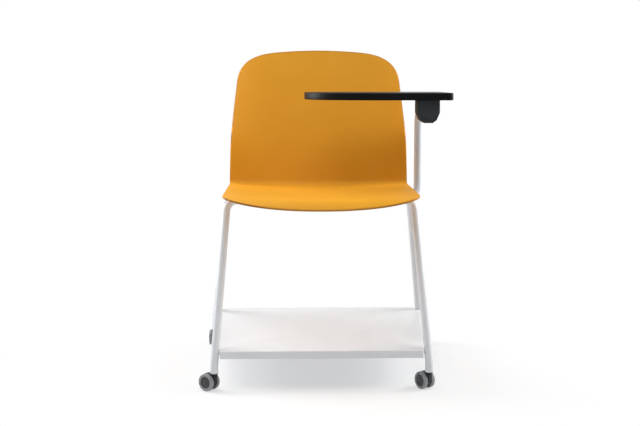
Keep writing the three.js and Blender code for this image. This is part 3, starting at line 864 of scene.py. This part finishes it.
@dataclass(frozen=True)
class ButtonScrew:
    """Screw with a domed head below and a hexagonal socket in it, about Z, in metres."""

    shank: float
    head: float
    head_height: float
    seat: float
    tip: float
    sides: int = 36

    floor_share = 0.55
    key_share = 0.42
    crown_share = 0.62
    dome_share = 0.75
    dome_steps = 4

    def build(self) -> Piece:
        """Turns the screw, from the floor of its socket out over the head and up the shank.

        Returns:
            The screw about Z.
        """
        low = self.seat - self.head_height
        floor = low + self.head_height * self.floor_share
        key = self.head * self.key_share
        dome = []
        for step in range(self.dome_steps + 1):
            angle = QUARTER_TURN * step / self.dome_steps
            radius = self.head * (self.crown_share + (1 - self.crown_share) * math.sin(angle))
            height = self.head_height * self.dome_share * (1 - math.cos(angle))
            dome.append((radius, low + height))
        lead = self.shank / 2
        profile = [(key, floor), (key, low), *dome, (self.head, self.seat), (self.shank, self.seat),
                   (self.shank, self.tip - lead), (self.shank - lead, self.tip)]
        return Bench.turned("screw_pattern", profile, self.sides, socket=key,
                            bevel=0.0002, segments=2, angle=50, smooth=35)


@dataclass(frozen=True)
class LegSizes:
    """Route of one pair of legs, in metres."""

    node: str
    foot_half_width: float
    foot_y: float
    crown_half_width: float
    crown_y: float


class TubeFrame(Assembly):
    """Two bent leg tubes, the rails between them, and the spacers and screws under the seat."""

    front = LegSizes("front_leg_tube", 0.266, -0.245, 0.239, -0.100)
    rear = LegSizes("rear_leg_tube", 0.298, 0.245, 0.247, 0.082)
    tube_radius = 0.010
    wall = 0.002
    crown_z = 0.4585
    crown_bend = 0.030
    foot_z = 0.0455
    foot_straight = 0.024
    foot_bend = 0.060
    rail_centre = 0.150
    rail_width = 0.030
    rail_thickness = 0.010
    rail_top = 0.4595
    gap = 0.0003
    spacer_from_end = 0.038
    spacer_radius = 0.013
    spacer_bore = 0.0034
    screw_grip = 0.003

    def leg_tube(self, legs: LegSizes) -> None:
        """Bends one pair of legs from a single tube."""
        def half(sign: int) -> list[tuple[Vector, float]]:
            """Foot, knee and shoulder of one leg."""
            foot_x = sign * legs.foot_half_width
            knee_z = self.foot_z + self.foot_straight
            crown = (sign * legs.crown_half_width, legs.crown_y, self.crown_z)
            return [(Vector((foot_x, legs.foot_y, self.foot_z)), 0.0),
                    (Vector((foot_x, legs.foot_y, knee_z)), self.foot_bend),
                    (Vector(crown), self.crown_bend)]
        route = half(-1) + list(reversed(half(1)))
        name = legs.node.replace("leg_tube", "legs")
        self.hand_over(Bench.tube(name, route, self.tube_radius, self.wall), Slot.WHITE, legs.node)

    def rail(self, side: Side) -> None:
        """Cuts the flat bar between the crowns on one side."""
        x = side.value * self.rail_centre
        low_x, high_x = x - self.rail_width / 2, x + self.rail_width / 2
        start = self.front.crown_y + self.tube_radius + self.gap
        end = self.rear.crown_y - self.tube_radius - self.gap
        outline = [(low_x, start), (high_x, start), (high_x, end), (low_x, end)]
        piece = Bench.plate(f"{side.word}_rail", outline, self.rail_top - self.rail_thickness,
                            self.rail_top, bevel=0.0012)
        self.hand_over(piece, Slot.WHITE, f"{side.word}_seat_rail")

    def seat_fixings(self) -> None:
        """Turns one spacer and one screw, and sets a copy of each at the four places."""
        ys = {"front": self.front.crown_y + self.tube_radius + self.spacer_from_end,
              "rear": self.rear.crown_y - self.tube_radius - self.spacer_from_end}
        shell = SeatShell.sizes
        across = (self.rail_centre - self.spacer_radius) / shell.half_width
        under_seat = shell.pan_top - shell.thickness + shell.edge_rise * across * across
        top = under_seat - self.gap
        spacer = Bench.sleeve("spacer_pattern", self.spacer_bore, self.spacer_radius,
                              self.rail_top, top, bevel=0.0007)
        screw = ButtonScrew(*M6, self.rail_top - self.rail_thickness,
                            top - self.screw_grip).build()
        for side in Side:
            for end, y in ys.items():
                at = f"{side.word}_{end}"
                place = Matrix.Translation((side.value * self.rail_centre, y, 0))
                self.fit(spacer, f"{at}_seat_spacer", place, Slot.BLACK, f"{at}_spacer")
                self.fit(screw, f"{at}_pan_screw", place, Slot.STEEL, f"{at}_seat_screw")
        Bench.discard(spacer, screw)

    def build(self) -> None:
        """Builds the legs, rails and seat fixings."""
        self.leg_tube(self.front)
        self.leg_tube(self.rear)
        for side in Side:
            self.rail(side)
        self.seat_fixings()


class Shelf(Assembly):
    """Low shelf of folded sheet between the legs, with the four screws that hold it."""

    top = 0.1015
    sheet = 0.002
    front_lip = 0.019
    side_lip = 0.017
    overhang = 0.022
    front_y = -0.252
    beyond_leg = 0.005
    fold = 0.0028
    screw_below_top = 0.009
    touch = 1e-6

    def shoulder_y(self) -> float:
        """Depth of the shoulders, close in front of the rear legs."""
        legs = TubeFrame.rear
        rise = TubeFrame.crown_z - TubeFrame.foot_z - TubeFrame.foot_straight
        reach = TubeFrame.tube_radius * math.hypot(1, (legs.crown_y - legs.foot_y) / rise)
        return self._leg(legs, self.top).y - reach - TubeFrame.gap

    def half_width(self, y: float) -> float:
        """Half width at a depth, past the front legs and then between the rear legs."""
        rear = self._leg(TubeFrame.rear, self.top)
        clear = TubeFrame.tube_radius + TubeFrame.gap
        if y > self.shoulder_y():
            return rear.x - clear
        front = self._leg(TubeFrame.front, self.top)
        share = (y - front.y) / (self.shoulder_y() - front.y)
        return front.x - clear + (rear.x + self.beyond_leg - front.x + clear) * share

    @staticmethod
    def _leg(legs: LegSizes, height: float) -> Vector:
        """Place of a leg's centre line at a height, on the right side."""
        low = TubeFrame.foot_z + TubeFrame.foot_straight
        share = (height - low) / (TubeFrame.crown_z - low)
        x = legs.foot_half_width + (legs.crown_half_width - legs.foot_half_width) * share
        return Vector((x, legs.foot_y + (legs.crown_y - legs.foot_y) * share, height))

    def tray(self) -> None:
        """Cuts the sheet, folds its lips down and gives it its wall."""
        shoulder = self.shoulder_y()
        rear_y = self._leg(TubeFrame.rear, self.top).y + self.overhang
        half = [(self.half_width(self.front_y), self.front_y),
                (self.half_width(shoulder), shoulder),
                (self.half_width(rear_y), shoulder), (self.half_width(rear_y), rear_y)]
        tray = Bench.face("shelf_sheet", half + [(-x, y) for x, y in reversed(half)], self.top)
        limit = rear_y - self.sheet
        low = self.top - self.side_lip / 2
        bpy.ops.mesh.select_mode(type="EDGE")
        self._mark_edges(tray, lambda a, b: min(a.y, b.y) < limit)
        Bench.draw((0, 0, -self.side_lip))
        self._mark_edges(tray, lambda a, b: max(a.y, b.y) < 0 and max(a.z, b.z) < low)
        Bench.draw((0, 0, self.side_lip - self.front_lip))
        self._mark_edges(tray, lambda a, b: self._is_fold(a, b) and min(a.y, b.y) < limit)
        bpy.ops.mesh.bevel(offset=self.fold, segments=5, affect="EDGES")
        bpy.ops.mesh.select_mode(type="VERT")
        Bench.face_out()
        upper = max(tray.data.polygons, key=lambda face: face.area)
        Bench.modify(tray, "SOLIDIFY", thickness=self.sheet, use_even_offset=True,
                     offset=-1 if upper.normal.z > 0 else 1)
        Bench.close(tray, bevel=0.0004, segments=2, angle=60, smooth=35)
        self.hand_over(tray, Slot.WHITE, "shelf_tray")

    def _is_fold(self, a: Vector, b: Vector) -> bool:
        """Whether an edge is one of the folds, or a corner between two lips."""
        flat = max(abs(a.z - self.top), abs(b.z - self.top)) < self.touch
        return flat or max(abs(a.x - b.x), abs(a.y - b.y)) < self.touch

    @staticmethod
    def _mark_edges(piece: Piece, test: Callable[[Vector, Vector], bool]) -> None:
        """Selects in edit mode the edges whose two ends pass a test."""
        Bench.mark(piece, lambda mesh: [edge for edge in mesh.edges
                                        if test(edge.verts[0].co, edge.verts[1].co)], flush=False)

    def screws(self) -> None:
        """Turns one screw and sets it at each leg from inside the lips."""
        length = self.sheet + TubeFrame.gap + TubeFrame.tube_radius / 2
        screw = ButtonScrew(*M5, -2 * TubeFrame.gap, length, 30).build()
        height = self.top - self.screw_below_top
        for side in Side:
            turn = Euler((0, side.value * QUARTER_TURN, 0)).to_matrix().to_4x4()
            for end, legs in (("front", TubeFrame.front), ("rear", TubeFrame.rear)):
                y = self._leg(legs, height).y
                x = side.value * (self.half_width(y) - self.sheet)
                at = f"{side.word}_{end}"
                self.fit(screw, f"{at}_tray_screw", Matrix.Translation((x, y, height)) @ turn,
                         Slot.STEEL, f"{at}_shelf_screw")
        Bench.discard(screw)

    def build(self) -> None:
        """Builds the tray and its screws."""
        self.tray()
        self.screws()


class TabletArm(Assembly):
    """Bent arm beside the seat, and the bracket and bolts that hold it under the right rail."""

    post_x = 0.259
    post_y = -0.010
    low_z = 0.4565
    high_z = 0.686
    low_bend = 0.026
    high_bend = 0.045
    inner_x = 0.178
    end_y = -0.215
    bracket_outer = 0.196
    bracket_length = 0.060
    floor_thickness = 0.006
    wall_above = 0.003
    wall_below = 0.004
    under_rail = 0.024
    bolt_from_end = 0.014

    def arm(self) -> None:
        """Bends the arm from one tube."""
        route = [
            (Vector((self.inner_x, self.post_y, self.low_z)), 0.0),
            (Vector((self.post_x, self.post_y, self.low_z)), self.low_bend),
            (Vector((self.post_x, self.post_y, self.high_z)), self.high_bend),
            (Vector((self.post_x, self.end_y, self.high_z)), 0.0),
        ]
        piece = Bench.tube("tablet_arm", route, TubeFrame.tube_radius, TubeFrame.wall)
        self.hand_over(piece, Slot.WHITE, "tablet_arm_tube")

    def bracket(self) -> None:
        """Shapes the bracket from a block whose outer part is drawn up beside the rail."""
        rail_edge = TubeFrame.rail_centre + TubeFrame.rail_width / 2 + TubeFrame.gap
        floor_top = TubeFrame.rail_top - TubeFrame.rail_thickness - TubeFrame.gap
        low = min(self.low_z - TubeFrame.tube_radius - self.wall_below,
                  floor_top - self.floor_thickness)
        high = self.low_z + TubeFrame.tube_radius + self.wall_above
        start, end = self.post_y - self.bracket_length / 2, self.post_y + self.bracket_length / 2
        outline = [(rail_edge - self.under_rail, low), (self.bracket_outer, low),
                   (self.bracket_outer, high), (rail_edge, high), (rail_edge, floor_top),
                   (rail_edge - self.under_rail, floor_top)]
        piece = Bench.plate("arm_clamp", outline, start, end, bevel=0.0014)
        self.hand_over(Bench.stand(piece, start + end), Slot.WHITE, "arm_bracket")
        self._bolts(low - TubeFrame.gap)

    def _bolts(self, seat: float) -> None:
        """Sets the two bolts that go up through the bracket into the rail."""
        bolt = ButtonScrew(*M6, seat, TubeFrame.rail_top - TubeFrame.gap).build()
        reach = self.bracket_length / 2 - self.bolt_from_end
        for end, sign in (("front", -1), ("rear", 1)):
            place = Matrix.Translation((TubeFrame.rail_centre, self.post_y + sign * reach, 0))
            self.fit(bolt, f"clamp_bolt_{end}", place, Slot.STEEL, f"arm_bolt_{end}")
        Bench.discard(bolt)

    def build(self) -> None:
        """Builds the arm, its bracket and its bolts."""
        self.arm()
        self.bracket()


class Tablet(Assembly):
    """Writing board with its faceted housing, bush and screws, which flip up about the arm."""

    body = "tablet"
    left = -0.041
    right = 0.318
    front = -0.247
    rear = 0.028
    top = 0.733
    thickness = 0.018
    corner = 0.016
    sweep = (0.188, 0.172)
    rear_sweep = (0.090, 0.095)
    sweep_steps = 30
    corner_steps = 10
    half_width = 0.0272
    shoulder_z = 0.685
    haunch_half_width = 0.0197
    haunch_z = 0.667
    bottom_z = 0.660
    bottom_half_width = 0.0102
    seam_below_board = 0.004
    seam_width = 0.0008
    seam_depth = 0.0006
    length = 0.058
    front_wall = 0.009
    setback = 0.019
    screw_x = 0.021
    screw_head_z = 0.696
    screw_grip = 0.011
    bush_wall = 0.0027
    bush_length = 0.046
    bush_start = 0.0001
    cut_overrun = 0.01

    @staticmethod
    def _quarter(x: float, y: float, reach: tuple[float, float], start: float,
                 steps: int) -> Points:
        """Points of a quarter ellipse, clockwise from an angle."""
        angles = [start - QUARTER_TURN * index / steps for index in range(steps + 1)]
        return [(x + reach[0] * math.cos(a), y + reach[1] * math.sin(a)) for a in angles]

    def outline(self) -> Points:
        """Outline of the board, seen from above."""
        r = self.corner
        front, rear = self.sweep, self.rear_sweep
        return [
            *self._quarter(self.right - r, self.front + r, (r, r), 0, self.corner_steps),
            *self._quarter(self.left + front[0], self.front + front[1], front, -QUARTER_TURN,
                           self.sweep_steps),
            *self._quarter(self.left + rear[0], self.rear - rear[1], rear, -math.pi,
                           self.sweep_steps),
            *self._quarter(self.right - r, self.rear - r, (r, r), QUARTER_TURN, self.corner_steps),
        ]

    def board(self) -> None:
        """Cuts the board and rounds its rims."""
        piece = Bench.plate("writing_board", self.outline(), self.top - self.thickness, self.top,
                            bevel=0.0024, segments=4, angle=50)
        self.hand_over(piece, Slot.BOARD, "tablet_board")

    def housing(self) -> None:
        """Draws the housing along its length, with a groove under the board, and bores it."""
        under = self.top - self.thickness - TubeFrame.gap
        start = self.front + self.setback
        x = TabletArm.post_x
        seam = under - self.seam_below_board
        half = [
            (self.bottom_half_width, self.bottom_z), (self.haunch_half_width, self.haunch_z),
            (self.half_width, self.shoulder_z), (self.half_width, seam - self.seam_width),
            (self.half_width - self.seam_depth, seam - self.seam_width / 2),
            (self.half_width, seam), (self.half_width, under),
        ]
        outline = [(x + across, z) for across, z in half]
        outline += [(x - across, z) for across, z in reversed(half)]
        piece = Bench.plate("tilt_housing", outline, 0, self.length, bevel=0.0026, segments=4,
                            angle=60)
        self._bore(Bench.stand(piece, start + self.length), start)
        self.hand_over(piece, Slot.BLACK, "tablet_housing")

    def _bore(self, piece: Piece, start: float) -> None:
        """Cuts the bore for the bush from the rear end."""
        radius = TubeFrame.tube_radius + TubeFrame.gap * 2 + self.bush_wall
        low, high = start + self.front_wall, start + self.length + self.cut_overrun
        Bench.clear()
        bpy.ops.mesh.primitive_cylinder_add(
            vertices=64, radius=radius, depth=high - low, rotation=(QUARTER_TURN, 0, 0),
            location=(TabletArm.post_x, (low + high) / 2, TabletArm.high_z))
        cutter = Bench.settle("bore_cutter")
        Bench.modify(piece, "BOOLEAN", operation="DIFFERENCE", object=cutter, solver="EXACT")
        Bench.discard(cutter)
        Bench.smooth(piece, 40)

    def bush(self) -> None:
        """Turns the sleeve between the housing and the arm."""
        inner = TubeFrame.tube_radius + TubeFrame.gap
        ring = Bench.sleeve("sleeve_pattern", inner, inner + self.bush_wall, self.bush_start,
                            self.bush_length, bevel=0.0004, segments=2)
        turn = Euler((-QUARTER_TURN, 0, 0)).to_matrix().to_4x4()
        y = self.front + self.setback + self.front_wall + TubeFrame.gap
        place = Matrix.Translation((TabletArm.post_x, y, TabletArm.high_z)) @ turn
        self.fit(ring, "tilt_sleeve", place, Slot.STEEL, "pivot_bush")
        Bench.discard(ring)

    def screws(self) -> None:
        """Sets the two screws that hold the board on the housing."""
        tip = self.top - self.thickness + self.screw_grip
        screw = ButtonScrew(*M4, self.screw_head_z - TubeFrame.gap, tip, 30).build()
        y = self.front + self.setback + self.length / 2
        for side in Side:
            place = Matrix.Translation((TabletArm.post_x + side.value * self.screw_x, y, 0))
            self.fit(screw, f"board_screw_{side.word}", place, Slot.STEEL,
                     f"tablet_screw_{side.word}")
        Bench.discard(screw)

    def build(self) -> None:
        """Builds the board, housing, bush and screws."""
        self.board()
        self.housing()
        self.bush()
        self.screws()


@dataclass(frozen=True)
class CastorPlace:
    """Where a castor stands and how far its trail is turned from the left towards the rear."""

    name: str
    x: float
    y: float
    turn: float

    def matrix(self) -> Matrix:
        """From the castor's own frame, trailing along X, to the chair."""
        turn = Matrix.Rotation(math.radians(180 - self.turn), 4, "Z")
        return Matrix.Translation((self.x, self.y, 0)) @ turn


class Castors(Assembly):
    """Four twin-wheel castors with sockets in the feet of the legs.

    Four sizes are lists of pairs, in metres: shoulder as depth below the rolling surface and
    distance from the side, ring as distance beyond the rim and depth below the side, hub_edge
    as distance inside the hub's rim and depth below its face, and hub_face as radius and height
    over that face.
    """

    places = (
        CastorPlace("front_left", -0.266, -0.245, 35),
        CastorPlace("front_right", 0.266, -0.245, 58),
        CastorPlace("rear_left", -0.298, 0.245, -88),
        CastorPlace("rear_right", 0.298, 0.245, -95),
    )
    wheel_radius = 0.0218
    wheel_width = 0.010
    wheel_gap = 0.012
    trail = 0.017
    rim = 0.0150
    shoulder = ((0.0024, 0), (0.0009, 0.0005), (0.0002, 0.0017), (0, 0.0034))
    ring = ((0.0016, 0), (0.0011, 0.0004), (0, 0.0004))
    hub_inset = 0.0008
    hub_play = 0.0004
    hub_back = 0.0003
    hub_edge = ((0, 0.0003), (0.0004, 0), (0.0016, 0), (0.0020, 0.0006))
    hub_face = ((0.0062, -0.0010), (0.0057, -0.0006), (0.0054, 0), (0.0048, 0.0003),
                (0.0020, 0.0005), (0.0004, 0.0005))
    axle_radius = 0.003
    axle_z = 0.02181
    axle_chamfer = 0.0004
    bore_radius = 0.0033
    bore_from_face = 0.0025
    hood_thickness = 0.011
    hood_radius = 0.0224
    hood_foot = 0.006
    hood_top = 0.0429
    hood_steps = 24
    stem_radius = 0.0035
    stem_low = 0.025
    stem_tip = 0.066
    groove_low = 0.058
    groove_depth = 0.0005
    groove_high = 0.0605
    socket_bore = stem_radius + 0.0003
    socket_radius = 0.0077
    socket_top = 0.068
    flange_radius = 0.0095
    flange_low = 0.0432
    flange_top = 0.0452

    def tread(self) -> Piece:
        """Turns one tread with rounded shoulders and a shallow ring on its outer face."""
        r, w, rim = self.wheel_radius, self.wheel_width, self.rim
        profile = [(rim, 0), *((r - depth, side) for depth, side in self.shoulder)]
        profile += [(r - depth, w - side) for depth, side in reversed(self.shoulder)]
        profile += [(rim + out, w - depth) for out, depth in self.ring] + [(rim, 0)]
        return Bench.turned("tread_pattern", profile, sides=64, closed_ring=True, smooth=45)

    def hub(self) -> Piece:
        """Turns one hub: a dished disc with a ring groove and a small cap over the axle."""
        rim = self.rim - self.hub_play
        face = self.wheel_width - self.hub_inset
        bore, back = self.bore_radius, self.hub_back
        profile = [(bore, face - self.bore_from_face), (bore, back), (rim, back),
                   *((rim - inset, face - depth) for inset, depth in self.hub_edge),
                   *((radius, face + height) for radius, height in self.hub_face)]
        return Bench.turned("hub_pattern", profile, sides=56, smooth=32)

    def hood(self) -> Piece:
        """Cuts the hood that lies between the wheels and takes the stem and the axle."""
        trail, radius, z, r = self.trail, self.hood_radius, self.axle_z, self.stem_radius
        outline: Points = []
        for step in range(self.hood_steps + 1):
            angle = -QUARTER_TURN / 2 + 1.5 * QUARTER_TURN * step / self.hood_steps
            height = min(z + radius * math.sin(angle), self.hood_top)
            outline.append((trail + radius * math.cos(angle), height))
        front = trail - radius
        outline += [(front + r / 2, self.hood_top), (front, self.hood_top - r), (front, z - r),
                    (trail - radius / 2, self.hood_foot), (trail + radius / 2, self.hood_foot)]
        half = self.hood_thickness / 2
        return Bench.stand(
            Bench.plate("hood_pattern", outline, -half, half, bevel=0.0013, angle=60))

    def stem(self) -> Piece:
        """Turns one stem with a groove for its ring and a tapered tip."""
        r, depth = self.stem_radius, self.groove_depth
        profile = [(r, self.stem_low), (r, self.groove_low), (r - depth, self.groove_low + depth),
                   (r - depth, self.groove_high - depth), (r, self.groove_high),
                   (r, self.stem_tip - r / 2), (r / 2, self.stem_tip)]
        return Bench.turned("stem_pattern", profile, sides=36, bevel=0.0002, segments=2,
                            angle=40, smooth=35)

    def socket(self) -> Piece:
        """Turns one socket with its flange under the end of the tube."""
        inner, outer, flange = self.socket_bore, self.socket_radius, self.flange_radius
        low, shelf, top = self.flange_low, self.flange_top, self.socket_top
        profile = [(inner, low), (flange, low), (flange, shelf), (outer, shelf), (outer, top),
                   (inner, top), (inner, low)]
        return Bench.turned("socket_pattern", profile, sides=48, closed_ring=True,
                            bevel=0.0004, segments=2)

    def axle(self) -> Piece:
        """Turns one axle about Z, centred."""
        half = (self.wheel_gap / 2 + self.wheel_width - self.hub_inset - self.bore_from_face
                - self.hub_back)
        r, chamfer = self.axle_radius, self.axle_chamfer
        profile = [(r - chamfer, -half), (r, -half + chamfer), (r, half - chamfer),
                   (r - chamfer, half)]
        return Bench.turned("axle_pattern", profile, sides=36)

    def build(self) -> None:
        """Makes each piece once and copies it to the four castors."""
        tread, hub, hood, stem, socket, axle = patterns = (
            self.tread(), self.hub(), self.hood(), self.stem(), self.socket(), self.axle())
        for place in self.places:
            at, body, local = place.name, f"{place.name}_castor", place.matrix()
            centre = local @ Matrix.Translation((self.trail, 0, self.axle_z))
            across = centre @ Matrix.Rotation(QUARTER_TURN, 4, "X")
            self.fit(socket, f"{at}_foot_socket", local, Slot.BLACK, f"{at}_leg_socket")
            self.fit(stem, f"{at}_stem", local, Slot.STEEL, f"{at}_castor_stem", body)
            self.fit(hood, f"{at}_hood", local, Slot.BLACK, f"{at}_castor_hood", body)
            self.fit(axle, f"{at}_axle", across, Slot.STEEL, f"{at}_castor_axle", body)
            for side, sign in (("near", 1), ("far", -1)):
                seat = centre @ Matrix.Translation((0, sign * self.wheel_gap / 2, 0))
                seat = seat @ Matrix.Rotation(-sign * QUARTER_TURN, 4, "X")
                wheel = f"{at}_{side}"
                body = f"{wheel}_wheel"
                self.fit(tread, f"{wheel}_tyre", seat, Slot.TREAD, f"{wheel}_tread", body)
                self.fit(hub, f"{wheel}_disc", seat, Slot.HUB, f"{wheel}_hub", body)
        Bench.discard(*patterns)


# ---------------------------------------------------------------- studio


@dataclass(frozen=True)
class Lamp:
    """One soft round lamp that points at the middle of the chair, in metres and watts."""

    name: str
    place: Triple
    size: float
    power: float
    target: Triple = (0.0, 0.0, 0.45)

    def build(self) -> None:
        """Hangs the lamp."""
        data = bpy.data.lights.new(self.name, "AREA")
        data.shape = "DISK"
        data.size = self.size
        data.energy = self.power
        lamp = bpy.data.objects.new(self.name, data)
        lamp.location = self.place
        aim = Vector(self.target) - Vector(self.place)
        lamp.rotation_euler = aim.to_track_quat("-Z", "Y").to_euler()
        bpy.context.scene.collection.objects.link(lamp)


class Studio:
    """Pale floor, plain soft light and the camera."""

    lens = 59.78
    sensor = 36.0
    camera_place = (-0.0684, -2.8061, 0.7629)
    pitch_down = 7.113
    yaw_right = 1.417
    ambient = 0.18
    lamps = (
        Lamp("right_lamp", (2.05, 0.36, 1.15), 1.3, 27),
        Lamp("high_right_lamp", (1.75, -0.3, 1.9), 1.3, 16),
        Lamp("left_lamp", (-1.95, 0.75, 1.0), 1.2, 24),
        Lamp("high_left_lamp", (-1.3, 0.3, 2.3), 1.6, 28),
        Lamp("front_lamp", (-0.3, -1.4, 2.6), 1.6, 18),
    )
    floor_radius = 9
    floor_drop = 0.0005
    paper = (0.93, 0.93, 0.935, 1)
    paper_shade = (0.9, 0.9, 0.905, 1)
    fade_start = 0.2
    fade_end = 0.9
    white_near = 0.45

    def __init__(self, datum: Datum) -> None:
        """Keeps the datum.

        Args:
            datum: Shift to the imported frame.
        """
        self.datum = datum

    def camera(self) -> None:
        """Sets the camera up where the photograph was taken from."""
        data = bpy.data.cameras.new("camera")
        data.lens = self.lens
        data.sensor_width = self.sensor
        data.sensor_fit = "HORIZONTAL"
        camera = bpy.data.objects.new("camera", data)
        camera.location = self.datum.matrix() @ Vector(self.camera_place)
        tilt, turn = math.radians(90 - self.pitch_down), -math.radians(self.yaw_right)
        camera.rotation_euler = (tilt, 0, turn)
        bpy.context.scene.collection.objects.link(camera)
        bpy.context.scene.camera = camera

    def world(self) -> None:
        """White surroundings: plain to the eye and in reflections, dimmer as light."""
        world = bpy.data.worlds.new("surroundings")
        bpy.context.scene.world = world
        graph = Graph(world)
        back = graph.nodes["Background"]
        graph.feed(back, "Color", (1.0, 1.0, 1.0, 1.0))
        strength = graph.remap(graph.shows_background(), 0, 1, self.ambient, 1)
        graph.feed(back, "Strength", strength)

    def floor(self) -> None:
        """Lays a pale floor that keeps the shadow near the chair and fades to white further off."""
        Bench.clear()
        bpy.ops.mesh.primitive_circle_add(vertices=96, radius=self.floor_radius, fill_type="NGON",
                                          location=(0, 0, -self.floor_drop))
        floor = Bench.settle("floor")
        recipe = Recipe("floor_paper")
        tone = recipe.blend(recipe.pattern(Pattern(3)), self.paper, self.paper_shade)
        recipe.feed(recipe.shader, "Base Color", tone)
        recipe.gloss(Gloss(Pattern(20), 0.85, 0.95))
        recipe.emboss((Relief(Pattern(300, 2), 0.05, 0.0002),))
        recipe.feed(recipe.shader, "Specular IOR Level", 0.1)
        self._fade(recipe)
        floor.data.materials.append(recipe.material)

    def _fade(self, recipe: Recipe) -> None:
        """Mixes the paper with plain white by the distance from the chair, for rays that see it."""
        length = recipe.add("ShaderNodeVectorMath", {0: recipe.place}, operation="LENGTH")
        far = recipe.remap(length.outputs["Value"], self.fade_start, self.fade_end,
                           self.white_near, 1)
        white = recipe.add("ShaderNodeEmission", {})
        mix = recipe.add("ShaderNodeMixShader", {
            "Fac": recipe.math("MULTIPLY", far, recipe.shows_background()),
            1: recipe.shader.outputs["BSDF"], 2: white.outputs["Emission"]})
        recipe.feed(recipe.nodes["Material Output"], "Surface", mix.outputs["Shader"])

    def build(self) -> None:
        """Sets up the camera, the surroundings, the lamps and the floor."""
        bpy.context.scene.view_settings.view_transform = "Standard"
        self.camera()
        self.world()
        for lamp in self.lamps:
            lamp.build()
        self.floor()


def main() -> None:
    """Builds the studio and then each sub-assembly in order."""
    logging.basicConfig(level=logging.INFO, format="%(name)s %(message)s")
    datum = Datum.measure(SeatShell.sizes.front)
    Studio(datum).build()
    paintshop = Paintshop()
    for assembly in (SeatShell, TubeFrame, Shelf, TabletArm, Tablet, Castors):
        assembly(paintshop, datum).build()
        LOG.info("%s done", assembly.__name__)


if __name__ == "__main__":
    main()
